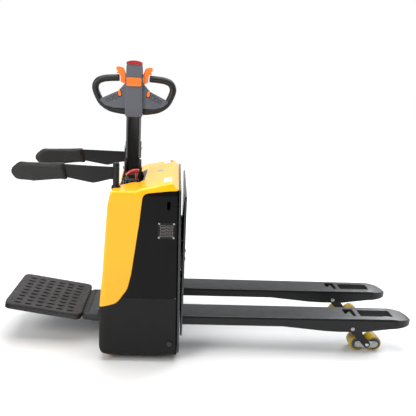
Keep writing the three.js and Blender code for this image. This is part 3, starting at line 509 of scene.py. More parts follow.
def brushed_steel(name, colour, roughness, along, wear=0.15):
    """Steel with fine lines along an axis, and darker stains."""
    s = Surface(name)
    stretch = {"x": (2, 160, 160), "y": (160, 2, 160), "z": (160, 160, 2)}[along]
    lines = s.noise(8, 4, s.stretched(*stretch))
    stain = s.spread(s.noise(14, 6), 0.45, 0.75, 0, wear)
    tone = s.mix(s.spread(lines, 0.3, 0.7, 0, 1), rgb(colour, 0.86), rgb(colour, 1.1))
    tone = s.mix(stain, tone, rgb("#4d4438"))
    rough = s.spread(lines, 0.2, 0.8, roughness - 0.08, roughness + 0.1)
    s.set(Base_Color=tone, Roughness=rough, Normal=s.bump(lines, 0.04, s.rounded_edge(0.6)))
    return s.set(Metallic=1.0)


def polyurethane(name, colour, deep):
    """A tyre of tinted, slightly see-through plastic, dulled and marked where it rolls."""
    s = Surface(name)
    marks = s.spread(s.noise(55, 7), 0.5, 0.72, 0, 0.45)
    tone = s.mix(s.spread(s.noise(18, 3), 0.3, 0.7, 0, 1), rgb(deep), rgb(colour))
    tone = s.mix(marks, tone, rgb(deep, 0.55))
    rough = s.spread(s.noise(70, 5), 0.3, 0.7, 0.3, 0.5)
    s.set(Base_Color=tone, Roughness=rough, Normal=s.bump(s.noise(240, 4), 0.08))
    s.shader.inputs["Subsurface Radius"].default_value = (0.012, 0.007, 0.002)
    return s.set(Subsurface_Weight=0.25, Subsurface_Scale=0.5, Coat_Weight=0.15, Coat_Roughness=0.2)


def rubber(name, colour, roughness, grain, grain_scale, dust=0.0, worn="#5c5b59"):
    """Rubber or skinned foam: fine leathery grain over a slow change of tone, paler on rubbed places."""
    s = Surface(name)
    cells = s.node("TexVoronoi", [("feature", "DISTANCE_TO_EDGE")], Scale=grain_scale, Vector=s.place)
    pores = s.math("ADD", s.spread(cells.outputs["Distance"], 0.0, 0.25, 0, 1), s.noise(grain_scale * 2, 3))
    tone = s.mix(s.spread(s.noise(9, 6), 0.3, 0.75, 0, 1), rgb(colour, 0.8), rgb(colour, 1.3))
    rubbed = s.math("MULTIPLY", s.edges(3.0), s.spread(s.noise(60, 5), 0.45, 0.7, 0, 0.35))
    tone = s.mix(rubbed, tone, rgb(worn))
    if dust:
        settled = s.math("MULTIPLY", s.upward(), s.spread(s.noise(30, 7), 0.35, 0.7, 0, dust))
        tone = s.mix(settled, tone, rgb("#8a857c"))
    rough = s.spread(s.noise(40, 5), 0.3, 0.7, roughness - 0.08, roughness + 0.08)
    return s.set(Base_Color=tone, Roughness=rough, Normal=s.bump(pores, grain), Specular_IOR_Level=0.4)


GLOSSY = {"Coat_Weight": 0.5, "Coat_Roughness": 0.04}
YELLOW = (finish_of("hood_yellow", "#ffb00e", 0.3, mottle=0.025, grain=0.05, grain_scale=260,
                    rough_spread=0.06, edge=2.5, Coat_Weight=0.3, Coat_Roughness=0.04,
                    Specular_IOR_Level=0.3), "yellow_hood")
PANEL_BLACK = (finish_of("panel_black", "#080808", 0.34, mottle=0.12, grain=0.06, grain_scale=700, edge=2.0,
                         Specular_IOR_Level=0.15), "black_cover")
SKIRT_BLACK = (finish_of("skirt_black", "#0e0e0e", 0.5, mottle=0.12, grain=0.12, grain_scale=600, edge=2.5,
                         dust=0.06, Specular_IOR_Level=0.25), "black_cover")
TRIM_BLACK = (finish_of("trim_black", "#0d0d0d", 0.5, mottle=0.15, grain=0.15, grain_scale=800, edge=1.5,
                        dust=0.06, Specular_IOR_Level=0.3), "black_trim")
FRAME_BLACK = (finish_of("frame_black", "#0d0d0e", 0.36, mottle=0.1, grain=0.08, grain_scale=420, edge=1.2,
                         wear=0.2, dust=0.05, Specular_IOR_Level=0.35), "painted_frame")
PLATE_PAINT = (finish_of("plate_paint", "#121315", 0.26, mottle=0.1, grain=0.05, grain_scale=420, edge=1.6,
                         wear=0.3, dust=0.04, Coat_Weight=0.4, Coat_Roughness=0.12), "painted_frame")
BRACKET_GREY = (finish_of("bracket_grey", "#1b1c1f", 0.36, mottle=0.12, grain=0.1, grain_scale=420, edge=1.2,
                          wear=0.25, dust=0.08), "painted_frame")
FORK_PAINT = (finish_of("fork_paint", "#0b0b0c", 0.34, mottle=0.1, grain=0.08, grain_scale=350, edge=1.5,
                        wear=0.35, dust=0.04, Specular_IOR_Level=0.35), "painted_fork")
HEAD_GREY = (finish_of("head_grey", "#51535b", 0.5, mottle=0.04, grain=0.12, grain_scale=900,
                       Specular_IOR_Level=0.45), "head_grey")
ORANGE = (finish_of("control_orange", "#ee7220", 0.38, mottle=0.04, grain=0.05, grain_scale=700,
                    **GLOSSY), "control_orange")
RED = (finish_of("control_red", "#a01d24", 0.3, mottle=0.05, grain=0.03, grain_scale=500,
                 **GLOSSY), "control_red")
COLUMN_BLACK = (finish_of("column_black", "#0a0a0b", 0.38, mottle=0.1, grain=0.05, grain_scale=600, edge=1.0,
                          wear=0.1, Specular_IOR_Level=0.2), "tiller_black")
WHITE_LABEL = (finish_of("label_white", "#e6e6e4", 0.35, mottle=0.03), "black_trim")
# Blue-grey for a thin band in the black well: a painted bluish reflection, not the trim's own colour.
WELL_REFLECTION = (finish_of("well_painted_reflection", "#8e9aa4", 0.4, mottle=0.05, grain=0.05, edge=1.0), "black_trim")
# Dark grey for the bottoms of the wings' grooves: painted shade in the recesses, not a second plastic colour.
GROOVE_SHADE = (finish_of("groove_painted_shade", "#2a2b30", 0.6, mottle=0.05), "head_grey")
KEY_BLUE = (finish_of("key_blue_black", "#141a26", 0.2, mottle=0.08, **GLOSSY), "black_trim")
LABEL_RED = (finish_of("label_red", "#b5444c", 0.35, mottle=0.03), "black_trim")
LABEL_PINK = (finish_of("label_pink", "#e9b9d0", 0.35, mottle=0.03), "black_trim")
LABEL_TEAL = (finish_of("label_teal", "#6f8f8b", 0.4, mottle=0.03), "black_trim")
# Grey for the strips on the black column's front flanges: a painted highlight, not a grey part.
COLUMN_HIGHLIGHT = (finish_of("column_highlight_grey", "#5e6063", 0.35, mottle=0.05, Metallic=0.4), "tiller_black")
PLATE_BLACK = (finish_of("plate_black", "#101010", 0.32, mottle=0.1, Specular_IOR_Level=0.25), "black_cover")
LABEL_GREY = (finish_of("label_grey", "#8d8586", 0.4, mottle=0.06), "black_cover")
GRIP_RUBBER = (rubber("grip_rubber", "#100e0e", 0.42, 0.12, 700), "grip_rubber")
PAD_FOAM = (rubber("pad_foam", "#100f0f", 0.5, 0.15, 420), "pad_foam")
MAT_RUBBER = (rubber("mat_rubber", "#2c2b2e", 0.58, 0.12, 500, dust=0.08), "platform_rubber")
# Near-black for the mat's crescent inlays: painted shade where the stud grooves would be shadowed.
MAT_SHADE_INLAY = (finish_of("mat_slot_painted_shade", "#0a0a0b", 0.7, Specular_IOR_Level=0.1), "platform_rubber")
TYRE_RUBBER = (rubber("tyre_rubber", "#232323", 0.75, 0.3, 300, dust=0.3), "drive_tyre")
ROLLER_YELLOW = (polyurethane("roller_yellow", "#cfae00", "#957600"), "roller_polyurethane")
CASTER_AMBER = (polyurethane("caster_amber", "#b8761c", "#7d4a0c"), "caster_polyurethane")
STEEL_X = (brushed_steel("steel_x", "#a9aeab", 0.34, "x"), "bright_steel")
STEEL_Y = (brushed_steel("steel_y", "#a9aeab", 0.32, "y"), "bright_steel")
STEEL_Z = (brushed_steel("steel_z", "#b6bab8", 0.22, "z", wear=0.05), "bright_steel")
CASTING = (finish_of("drive_casting", "#5b5e61", 0.62, mottle=0.15, grain=0.35, grain_scale=260, edge=1.5,
                     dust=0.2, Metallic=0.5), "drive_casting")
MOTOR_BLACK = (finish_of("motor_black", "#1c1d1f", 0.42, mottle=0.12, grain=0.15, grain_scale=350, edge=1.0,
                         dust=0.15), "motor_paint")
CONTROLLER = (brushed_steel("controller_metal", "#9fa3a6", 0.4, "y"), "controller_metal")
BATTERY = (finish_of("battery_case", "#28323b", 0.55, mottle=0.1, grain=0.15, grain_scale=500, edge=1.5,
                     dust=0.2), "battery_case")


# ------------------------------------------------------------------ covers

def body_side(inset=0, steps=10):
    """The body's side view, as in the frame: front foot, bottom, rear and top."""
    rear = BODY_REAR_X + inset
    return rounded([
        (-168 - inset, 33 - 4 * inset, 10),
        (rear, 33 - 4 * inset, 46 - inset),
        (rear, 240, 150),
        (-521 + inset, 395, 150),
        (-498 + inset, 750, 60),
        (-484 + inset, 814 - inset, 12),
        (-373, 816 - inset, 8),
        (-356, 826 - inset, 8),
        (-213, BODY_TOP_Z - inset, 6),
        (-183 - inset, 831 - inset),
    ], steps)


def body_front(inset=0, steps=8):
    half = BODY_HALF_WIDTH - inset
    ridge = 368 - inset / 2
    right = [(half, 0), (half, 800 - inset, 14), (ridge + 2, 838 - inset, 10), (ridge - 6, BODY_TOP_Z + 20)]
    left = [(-c[0], *c[1:]) for c in reversed(right)]
    return rounded([*right, *left], steps)


def body_plan(inset=0, steps=12):
    half = BODY_HALF_WIDTH - inset
    rear = BODY_REAR_X + inset
    return rounded([(rear, -half, 46 - inset), (-100, -half), (-100, half), (rear, half, 46 - inset)], steps)


def body_block(inset=0):
    return common(
        prism(body_side(inset), "y", -BODY_HALF_WIDTH + inset, BODY_HALF_WIDTH - inset),
        prism(body_front(inset), "x", -600, -100),
        prism(body_plan(inset), "z", 0, 900),
    )


def out_of(outline, points):
    """How far points lie outside a closed outline (negative inside), and the way out of it."""
    a = np.array([tuple(p) for p in outline])
    b = np.roll(a, -1, axis=0)
    if np.sum(a[:, 0] * b[:, 1] - b[:, 0] * a[:, 1]) < 0:
        a, b = b, a
    edge = b - a
    gap = points[:, None, :] - a
    share = np.clip((gap * edge).sum(2) / (edge ** 2).sum(1), 0, 1)
    away = gap - share[..., None] * edge
    nearest = (away ** 2).sum(2).argmin(1)
    normal = np.stack([edge[:, 1], -edge[:, 0]], 1) / np.linalg.norm(edge, axis=1)[:, None]
    way = normal[nearest]
    return (away[np.arange(len(points)), nearest] * way).sum(1), way


def smooth_body(fillet=11.0):
    """The body's outside as a dense skin, with a fillet where its side, front and plan shapes meet."""
    block_shape = apply_modifiers(remeshed(body_block(), 5.5))
    mesh = block_shape.data
    points = np.empty(len(mesh.vertices) * 3)
    mesh.vertices.foreach_get("co", points)
    points = points.reshape(-1, 3) / MM
    shapes = [(body_side(), (0, 2)), (body_front(), (1, 2)), (body_plan(), (0, 1))]
    for _ in range(5):
        pulls = []
        for shape, axes in shapes:
            distance, way = out_of(shape, points[:, axes])
            whole = np.zeros_like(points)
            whole[:, axes] = way
            pulls.append((distance + fillet, whole))
        reach = np.stack([np.maximum(d, 0) for d, _ in pulls])
        length = np.linalg.norm(reach, axis=0)
        depth = length - fillet
        gradient = sum(r[:, None] * way for r, (_, way) in zip(reach, pulls)) / np.maximum(length, 1e-6)[:, None]
        size = np.maximum((gradient ** 2).sum(1), 0.2)
        points -= np.clip(depth / size, -6, 6)[:, None] * gradient
    mesh.vertices.foreach_set("co", (points * MM).ravel())
    return tidy(block_shape, flat_angle=0.5)


def hood_region(grow=0):
    """Everything above the line where the yellow hood meets the black covers."""
    return prism(rounded([
        (-650, 268 - grow),
        (-525, 270 - grow, 30),
        (-452 + grow, 290 - grow, 60),
        (-404 + grow, 360 - grow, 90),
        (-388 + grow, 430, 60),
        (-356 + grow, 670, 40),
        (-342 + grow, 806 - grow, 34),
        (-230, 820 - grow, 40),
        (-100, 829 - grow),
        (-100, 950),
        (-650, 950),
    ], 12), "y", -500, 500)


def notch(grow=0):
    low = [
        (-600, -NOTCH_HALF_WIDTH - grow),
        (-478, -NOTCH_HALF_WIDTH - grow, 20),
        (-392, -150 - grow, 40),
        (NOTCH_FRONT_X + grow, -172 - grow, 12),
    ]
    return rounded([*low, *[(c[0], -c[1], *c[2:]) for c in reversed(low)]], 8)


def weighted(obj):
    """Large flat faces keep their own shading beside small rounded ones."""
    modifier = obj.modifiers.new("shading", "WEIGHTED_NORMAL")
    modifier.keep_sharp = True
    modifier.weight = 100
    return obj


def add_covers():
    skin = smooth_body()
    inside = body_block(5)

    bonnet = cut(
        hood_region(),
        twin(inside),
        prism(notch(), "z", NOTCH_FLOOR_Z, 950),
        *[rod("z", POST_X, sign * POST_Y, 700, 900, 18, 32) for _, sign in SIDES],
        turned(block(-340, -222, -1.5, 1.5, 839.5, 870), -12.2, "Y", (-281, 0, 842)),
    )
    weighted(piece(common(twin(skin), bonnet), "hood", "chassis", YELLOW, "hood_cover", sharp=38))

    band = cut(
        block(-700, -100, -500, 500, -100, SKIRT_TOP_Z),
        twin(inside),
        hood_region(SEAM),
        block(-184, -90, -300, 300, -110, 400),
        block(-600, -500, -174, 174, 98, 146),
    )
    weighted(piece(common(twin(skin), band), "skirt", "chassis", SKIRT_BLACK, "lower_skirt", sharp=38))

    side_region = cut(
        block(-700, -100, -500, -200, SKIRT_TOP_Z + SEAM, 1000),
        inside,
        hood_region(SEAM),
        block(-184, -90, -300, 300, 0, 1100),
        prism(link(-226, 743.5, 7.5, -226, 767.5, 7.5, 12), "y", -400, -370),
    )
    right = common(skin, side_region)
    left = mirrored_copy(right, "y")
    for side, obj in (("right", right), ("left", left)):
        weighted(piece(obj, f"{side}_panel", "chassis", PANEL_BLACK, f"side_panel_{side}", sharp=38))


def add_well():
    trim = common(
        prism(notch(-1), "z", NOTCH_FLOOR_Z - 8, 805),
        prism(body_side(6), "y", -400, 400),
    )
    posts = [rod("z", POST_X, sign * POST_Y, 700, 900, 16, 32) for _, sign in SIDES]
    tray = cut(trim, prism(notch(-4), "z", NOTCH_FLOOR_Z - 4, 900), rod("z", STEER_X, 0, 700, 800, 62), *posts)
    piece(tray, "well", "chassis", TRIM_BLACK, "tiller_well", bevel=0.8)
    ring = lathe([(61, 738), (74, 738), (74, 744), (71, 747), (64, 747), (61, 744)], "z", (STEER_X, 0, 0),
                 closed=True)
    piece(ring, "well_ring", "chassis", TRIM_BLACK)


def screw_head(radius, height, face_y, x, z):
    """A round socket-head screw on a face that looks towards -Y."""
    head = lathe([(0, 1.5), (radius, 1.5), (radius, -height * 0.6), (radius * 0.85, -height), (0, -height)],
                 "y", (x, face_y, z), 32)
    socket = prism(circle(x, z, radius * 0.45, 6), "y", face_y - height - 1, face_y - height * 0.4)
    return cut(head, socket)


def add_cover_details():
    """The blank rating plate with its rivets, the skirt's screws and a blank label on the bonnet."""
    face = -BODY_HALF_WIDTH
    plate = prism(rectangle(-272, -194, 604, 680, 4), "y", face - 1.2, face + 0.5)
    piece(plate, "rating_plate", "chassis", PLATE_BLACK, bevel=0.3)
    fields = [
        cut(
            prism(rectangle(x0, x1, z, z + 9, 2), "y", face - 1.5, face),
            prism(rectangle(x0 + 1.1, x1 - 1.1, z + 1.1, z + 7.9, 1.5), "y", face - 3, face + 1),
        )
        for z in (615, 629, 643, 657)
        for x0, x1 in ((-262, -235), (-231, -204))
    ]
    piece(gather(fields), "plate_fields", "chassis", LABEL_GREY)
    rivets = [
        lathe([(0, 0.5), (4.6, 0.5), (4.2, -2.4), (2.2, -3.6), (0, -3.8)], "y", (x, face, z), 24)
        for x in (-266, -200)
        for z in (610, 674)
    ]
    piece(gather(rivets), "plate_rivets", "chassis", STEEL_Y)
    piece(screw_head(12, 4, face, -205, 94), "skirt_screw", "chassis", BRACKET_GREY, sharp=30)
    for name, x0, x1, y0, y1, paint in (
        ("near_label", -252, -216, -318, -208, WHITE_LABEL),
        ("near_label_patch", -238, -220, -300, -226, LABEL_PINK),
        ("far_label", -262, -222, 268, 344, WHITE_LABEL),
        ("far_label_patch", -230, -219, 272, 340, LABEL_RED),
        ("middle_label", -294, -262, 20, 62, LABEL_TEAL),
    ):
        patch = "patch" in name
        middle = (x0 + x1) / 2
        top = 826 + (middle + 356) * 31 / 143
        label = block(x0, x1, y0, y1, top - 0.6, top + (0.9 if patch else 0.5))
        piece(turned(label, -12.2, "Y", (middle, 0, top)), name, "chassis", paint)
    # A thin blue-grey band lining the well's inner wall: a painted bluish reflection on the black trim.
    reflected_band = cut(
        common(prism(notch(-4.3), "z", NOTCH_FLOOR_Z + 2, 830), prism(body_side(1), "y", -400, 400)),
        prism(notch(-6), "z", 700, 900),
        block(-700, -396, -400, 400, 700, 900),
    )
    piece(reflected_band, "well_reflection_band", "chassis", WELL_REFLECTION)


# ------------------------------------------------------------------ chassis and lift

def add_plates():
    refined("front_plate", PLATE_PAINT, 1.6)
    refined("carriage_plate", PLATE_PAINT, 1.6)
    beads = []
    for _, sign in SIDES:
        line = [Vector((HEEL_X + 1, sign * FORK_Y + w, FORK_TOP_Z + 1)) for w in range(-76, 77, 2)]
        bead = sweep(line, circle(0, 0, 4, 10), (0, 0, 1), round_end=2)
        for vertex in bead.data.vertices:
            vertex.co.z += 0.0006 * math.sin(vertex.co.y / MM * 1.3)
        beads.append(bead)
    piece(gather(beads), "fork_welds", "lift", FORK_PAINT)
    heads = []
    for sign in (-1, 1):
        for z in (470, 510):
            heads.append(lathe([(0, 0), (9, 0), (9, 4), (8, 6), (0, 6)], "x", (HEEL_X, sign * 250, z), 6))
    piece(gather(heads), "shoe_bolts", "lift", STEEL_X, bevel=0.5)


def fork_plan(start, half, tip):
    """A fork's plan: straight sides and a half-oval tip."""
    round_x = 906
    turns = [math.pi * (k / 40 - 0.5) for k in range(41)]
    arc = [Vector((round_x + (tip - round_x) * math.cos(a), half * math.sin(a))) for a in turns]
    return [Vector((start, half)), Vector((start, -half)), *arc]


def add_forks():
    side = rounded([
        (HEEL_X + 0.3, FORK_TOP_Z),
        (HEEL_X + 0.3, 141),
        (351, 141),
        (563, 121, 60),
        (630, 118),
        (750, 118, 60),
        (891, 137, 80),
        (TIP_X, 146, 6),
        (TIP_X, 166, 6),
        (985, 178, 60),
        (900, FORK_TOP_Z, 60),
    ], 12)
    crown = rounded([(-80, 90), (80, 90), (80, FORK_TOP_Z, 13), (-80, FORK_TOP_Z, 13)], 8)
    under_top = [(HEEL_X - 2, 80), (TIP_X, 80), (TIP_X, 154), (985, 170), (890, FORK_TOP_Z - 6),
                 (HEEL_X - 2, FORK_TOP_Z - 6)]
    hook = rounded([(676, -9, 2), (687, -9, 3), (707, 23, 4), (712, -38, 3), (730, -40, 3), (730, 48, 5),
                    (676, 48, 5)], 4)
    for name, sign in SIDES:
        channel = cut(
            common(
                prism(side, "y", -80, 80),
                prism(fork_plan(HEEL_X, 80, TIP_X), "z", 90, FORK_TOP_Z + 1),
                prism(crown, "x", HEEL_X - 1, TIP_X + 1),
            ),
            common(
                prism(fork_plan(HEEL_X - 1, 74, TIP_X - 14), "z", 80, FORK_TOP_Z),
                prism([Vector(p) for p in under_top], "y", -90, 90),
            ),
            prism(rectangle(750, 916, -38, 38, 6), "z", 170, FORK_TOP_Z + 1),
            prism(hook, "z", 170, FORK_TOP_Z + 1),
            rod("y", ARM_PIVOT_X, ARM_PIVOT_Z, -90, 90, 8.3),
        )
        piece(moved(channel, y=sign * FORK_Y), f"{name}_fork", "lift", FORK_PAINT, f"fork_{name}", bevel=1.4)


def add_load_wheels():
    tyre = both_ways([(30, 35), (33, 36), (35.4, 35.2), (36.7, 33.4), (37, 31)])
    hub = both_ways([(8.5, 34), (11, 34.5), (12, 32), (17, 32), (18, 34.5), (30.2, 34.9)])
    cheek = link(ARM_PIVOT_X, ARM_PIVOT_Z, 20, BOGIE_X, BOGIE_Z, 17)
    lever = link(ARM_PIVOT_X, ARM_PIVOT_Z, 13, ARM_PIVOT_X + 12, ARM_PIVOT_Z + 28, 7)
    rear_x = BOGIE_X - BOGIE_HALF_BASE
    front_x = BOGIE_X + BOGIE_HALF_BASE
    plate = link(rear_x, ROLLER_RADIUS, 17, front_x, ROLLER_RADIUS, 17)
    for name, sign in SIDES:
        y = sign * FORK_Y
        arm = join(
            rod("y", ARM_PIVOT_X, ARM_PIVOT_Z, -56, 56, 14),
            *[slab(cheek, s, 48, 56) for _, s in SIDES],
            *[slab(lever, s, 8, 14) for _, s in SIDES],
            *[slab(circle(BOGIE_X, BOGIE_Z, 9), s, 37.5, 57.5) for _, s in SIDES],
            rod("y", ARM_PIVOT_X + 12, ARM_PIVOT_Z + 28, -10, 10, 3.5, 24),
        )
        arm = cut(arm, rod("y", ARM_PIVOT_X, ARM_PIVOT_Z, -60, 60, 8.4))
        piece(moved(arm, y=y), f"{name}_load_arm", f"load_arm_{name}", FRAME_BLACK, f"load_arm_{name}", bevel=0.9)

        plates = [
            cut(slab(plate, s, 38, 45), rod("y", BOGIE_X, BOGIE_Z, -60, 60, 9.5))
            for _, s in SIDES
        ]
        axles = [rod("y", x, ROLLER_RADIUS, -47, 47, 8) for x in (rear_x, front_x)]
        nuts = [
            lathe([(0, s * 45), (12, s * 45), (12, s * 46.8), (10.8, s * 47.6), (0, s * 47.6)], "y",
                  (x, 0, ROLLER_RADIUS), 6)
            for _, s in SIDES
            for x in (rear_x, front_x)
        ]
        bogie = gather([*plates, *axles, *nuts])
        piece(moved(bogie, y=y), f"{name}_bogie", f"bogie_{name}", STEEL_X, f"bogie_{name}", bevel=0.7)

        for end, way in ENDS:
            node = f"load_roller_{name}_{end}"
            centre = (BOGIE_X + way * BOGIE_HALF_BASE, y, ROLLER_RADIUS)
            piece(lathe(tyre, "y", centre, 72, True), f"{node}_tyre", node, ROLLER_YELLOW, node, sharp=50)
            piece(lathe(hub, "y", centre, 48, True), f"{node}_hub", node, CASTING)

        pivots = [
            lathe([(0, s * 57.5), (9, s * 57.5), (9, s * 60), (7.5, s * 61.5), (0, s * 62)], "y",
                  (BOGIE_X, y, BOGIE_Z), 32)
            for _, s in SIDES
        ]
        piece(gather(pivots), f"{name}_bogie_pivots", f"load_arm_{name}", STEEL_Z)

        pin = lathe(both_ways([(0, 85), (8, 85), (10, 84), (10, 80.3), (8, 80.3)]), "y",
                    (ARM_PIVOT_X, y, ARM_PIVOT_Z), 32)
        piece(pin, f"{name}_arm_pin", "lift", STEEL_Y, f"load_arm_pin_{name}")


# ------------------------------------------------------------------ tiller

def head_body():
    outline = rounded([
        (-40, 1112, 10), (40, 1112, 10), (43, 1136, 20), (38, HEAD_TOP_Z), (-38, HEAD_TOP_Z), (-43, 1136, 20),
    ])
    profile = rounded([
        (-28, 1112, 6), (24, 1112, 6), (30, 1150, 20), (28, HEAD_TOP_Z), (-32, HEAD_TOP_Z), (HEAD_FRONT_Y, 1150, 20),
    ])
    return common(prism(outline, "y", -34, 30), prism(profile, "x", -60, 60))


def head_wing(sign):
    wing = rounded([(sign * x, z, r) for x, z, r in (
        (30, 1152, 0), (96, 1153, 30), (140, 1164, 24), (168, 1189, 5), (159, 1198, 5), (76, 1237, 24),
        (44, 1274, 34), (30, 1290, 0),
    )])
    return prism(wing, "y", -18, 14)


def wing_groove(sign, x, z, half_x, half_z):
    """A shallow oval groove in a wing's face."""
    ring = cut(
        prism(oval(sign * x, z, half_x, half_z), "y", -30, -15.0),
        prism(oval(sign * x, z, half_x - 3, half_z - 3), "y", -31, -15),
    )
    return turned(ring, sign * 24, "Y", (sign * x, 0, z))


def wing_grooves(sign):
    return [
        wing_groove(sign, x, z, half_x, half_z)
        for x, z, half_x, half_z in ((90, 1208, 9, 13), (109, 1199, 9, 12), (127, 1191, 8, 11))
    ]


def add_head():
    head = soften(join(head_body(), *[head_wing(sign) for _, sign in ENDS]), 2.0, 7)
    grooves = [groove for _, sign in ENDS for groove in wing_grooves(sign)]
    # Dark grey floors laid in the wing grooves: painted shade in the recesses.
    shaded_floors = moved(gather([twin(groove) for groove in grooves]), x=STEER_X)
    for vertex in shaded_floors.data.vertices:
        vertex.co.y = max(vertex.co.y, -16.6 * MM)
    piece(shaded_floors, "wing_groove_shadows", "tiller", GROOVE_SHADE)
    pockets = [
        turned(block(sign * 70 - 9, sign * 70 + 9, -24, -8, 1209, 1243), sign * 11.5, "Y", (sign * 70, 0, 1226))
        for _, sign in ENDS
    ]
    head = cut(
        head,
        gather(grooves),
        gather(pockets),
        prism(rectangle(-37, 37, 1260, 1303, 7), "y", -40, HEAD_FRONT_Y + 6),
        prism(rectangle(-32.3, 32.3, -23.3, 23.3, 8), "z", 1100, 1118),
        cut(block(-60, 60, -60, 60, 1356, 1372), block(-36, 36, -30, 26, 1350, 1380)),
        block(-31.5, 31.5, -25, 21, 1350, 1372),
        rod("x", -2, LEVER_Z, -60, 60, 7.3),
    )
    piece(moved(head, x=STEER_X), "head", "tiller", HEAD_GREY, "tiller_head", sharp=40)


def add_buttons():
    horn = soften(prism(rectangle(-36, 36, 1261, 1302, 7), "y", -38, -31), 0.9, 4)
    rings = [
        cut(prism(oval(x, 1281.5, 7, 7), "y", -38.4, -36), prism(oval(x, 1281.5, 5.6, 5.6), "y", -39, -35))
        for x in (-16, 16)
    ]
    bar = prism(rectangle(-4, 4, 1275, 1288, 3), "y", -38.4, -36)
    piece(moved(gather([horn, *rings, bar]), x=STEER_X), "horn", "horn_button", ORANGE, "horn_button")

    arc = [Vector((-37 + 74 * k / 24, 1373 + 8.5 * math.sin(math.pi * k / 24) ** 0.6)) for k in range(25)]
    cap = prism([Vector((38.5, 1362.4)), *reversed(arc), Vector((-38.5, 1362.4))], "y", -32.5, 28.5)
    stem = block(-30, 30, -23.5, 19.5, 1359, 1372)
    hollow = block(-36.8, 36.8, -30.8, 26.8, 1355, 1370)
    cap = join(cut(soften(cap, 1.0, 2), hollow), stem)
    piece(moved(cap, x=STEER_X), "cap", "belly_button", RED, "belly_button", sharp=50)

    for name, sign in ENDS:
        rocker = soften(prism(rectangle(-6.5, 6.5, -14, 14, 5.5), "y", -24, -11), 0.7, 4)
        moved(turned(rocker, sign * 11.5, "Y", (0, 0, 0)), x=STEER_X + sign * 70, z=1226)
        piece(rocker, f"{name}_rocker", f"rocker_{name}", ORANGE, f"rocker_{name}")


def add_levers():
    """The hooked thumb levers with a second small hook beneath the first."""
    shape = [(43, 1268, 4), (66, 1280, 5), (67, 1304, 8), (72, 1317, 3), (83, 1317, 3), (84, 1325, 3), (77, 1328, 1),
             (86, 1333, 4), (88, 1348, 7), (78, 1352, 6), (53, 1347, 12), (42, 1318, 10)]
    for name, sign in ENDS:
        blade = soften(prism(rounded([(sign * x, z, r) for x, z, r in shape]), "y", -17, 13), 1.1, 5)
        low, high = sorted((sign * 1, sign * 47))
        blade = join(blade, rod("x", -2, LEVER_Z, low, high, 7))
        piece(moved(blade, x=STEER_X), f"{name}_thumb_lever", f"thumb_lever_{name}", ORANGE, f"thumb_lever_{name}")


def add_grips():
    line = [(36, 1138), (74, 1142), (118, 1152), (155, 1176), (177, 1212), (188, 1250), (176, 1278), (148, 1291),
            (110, 1296), (76, 1298)]
    section = oval(0, 0, 16, 16.5, 32)
    for name, sign in ENDS:
        bar = sweep(smooth_line([(sign * x, 0, z) for x, z in line], 8), section, (0, 1, 0), round_end=4)
        bar = cut(bar, block(-44, 44, -60, 60, 1100, 1200))
        piece(moved(bar, x=STEER_X), f"{name}_grip", "tiller", GRIP_RUBBER, f"grip_{name}", sharp=60)


def add_column():
    refined("tiller_column", COLUMN_BLACK, 1.2)
    # Grey strips on the column's black front flanges: a painted highlight where the rounded flanges catch the light.
    highlight_bands = [
        prism(rectangle(x - 4.2, x + 4.2, -25, 18, 3), "z", 912, 1111)
        for x in (-31.5, 31.5)
    ]
    piece(moved(gather(highlight_bands), x=STEER_X), "column_painted_highlights", "tiller", COLUMN_HIGHLIGHT, bevel=0.4)
    bracket = cut(
        prism(rectangle(-38.5, 38.5, -20, 26, 7), "z", 912, 992),
        prism(rectangle(-31.8, 31.8, -22.8, 22.8, 8), "z", 900, 1000),
    )
    piece(moved(bracket, x=STEER_X), "column_bracket", "tiller", TRIM_BLACK, bevel=1.5)
    bolts = [
        lathe([(0, s * 38), (8, s * 38), (8, s * 42), (6.5, s * 44), (0, s * 44)], "x", (STEER_X, y, 962), 6)
        for _, s in ENDS
        for y in (-10, 10)
    ]
    piece(gather(bolts), "column_bolts", "tiller", STEEL_Z, bevel=0.4)


def add_tiller_base():
    refined("tiller_base", TRIM_BLACK, 1.6)
    boot = [(47, 771), (58, 772), (60, 776), (54, 781), (53, 786), (56, 790), (49, 795), (48, 800), (50, 804),
            (43, 810), (40, 812)]
    piece(lathe([*boot, (38, 808), (44, 775)], "z", (STEER_X, 0, 0), closed=True), "boot", "steer", TYRE_RUBBER,
          sharp=60)
    fin = prism(rounded([(38, 790, 4), (70, 792, 6), (52, 838, 8), (40, 858, 4), (36, 850, 2)]), "y", -26, -18)
    piece(moved(fin, x=STEER_X), "base_fin", "steer", TRIM_BLACK, bevel=1.4)
    refined("tilt_pin", STEEL_X, 0.6)


def add_switches():
    refined("switch_console", TRIM_BLACK, 1.2)
    y = -98
    bar = sweep(smooth_line([(-22, y - 12, 841), (-6, y - 12, 854), (12, y - 12, 862), (32, y - 12, 863)], 8),
                oval(0, 0, 9, 9.5, 24), (0, 1, 0), round_end=5)
    handle = soften(join(bar, rod("z", 24, y - 12, 768, 861, 6)), 1.4, 3)
    piece(moved(handle, x=STEER_X), "red_handle", "emergency_handle", RED, "emergency_handle")
    collar = lathe([(6.4, 792), (15, 792), (15, 800), (13, 803), (13, 818), (11, 821), (6.4, 821)], "z",
                   (STEER_X + 24, y - 12, 0), closed=True)
    piece(collar, "handle_collar", "chassis", MOTOR_BLACK)
    barrel = lathe([(11.2, 776), (17, 776), (17, 786), (15.5, 789), (15.5, 806), (13.5, 809), (11.2, 809)], "z",
                   (STEER_X - 24, y + 8, 0), closed=True)
    piece(barrel, "key_shroud", "chassis", KEY_BLUE)
    bow = cut(
        prism(circle(-24, 820, 10, 32), "y", y + 6.8, y + 9.2),
        prism(circle(-24, 823, 3, 20), "y", y, y + 12),
    )
    key = join(bow, block(-26, -22, y + 6.9, y + 9.1, 796, 814))
    piece(moved(key, x=STEER_X), "key", "ignition_key", STEEL_X, "ignition_key", bevel=0.3)


# ------------------------------------------------------------------ platform, arms and casters

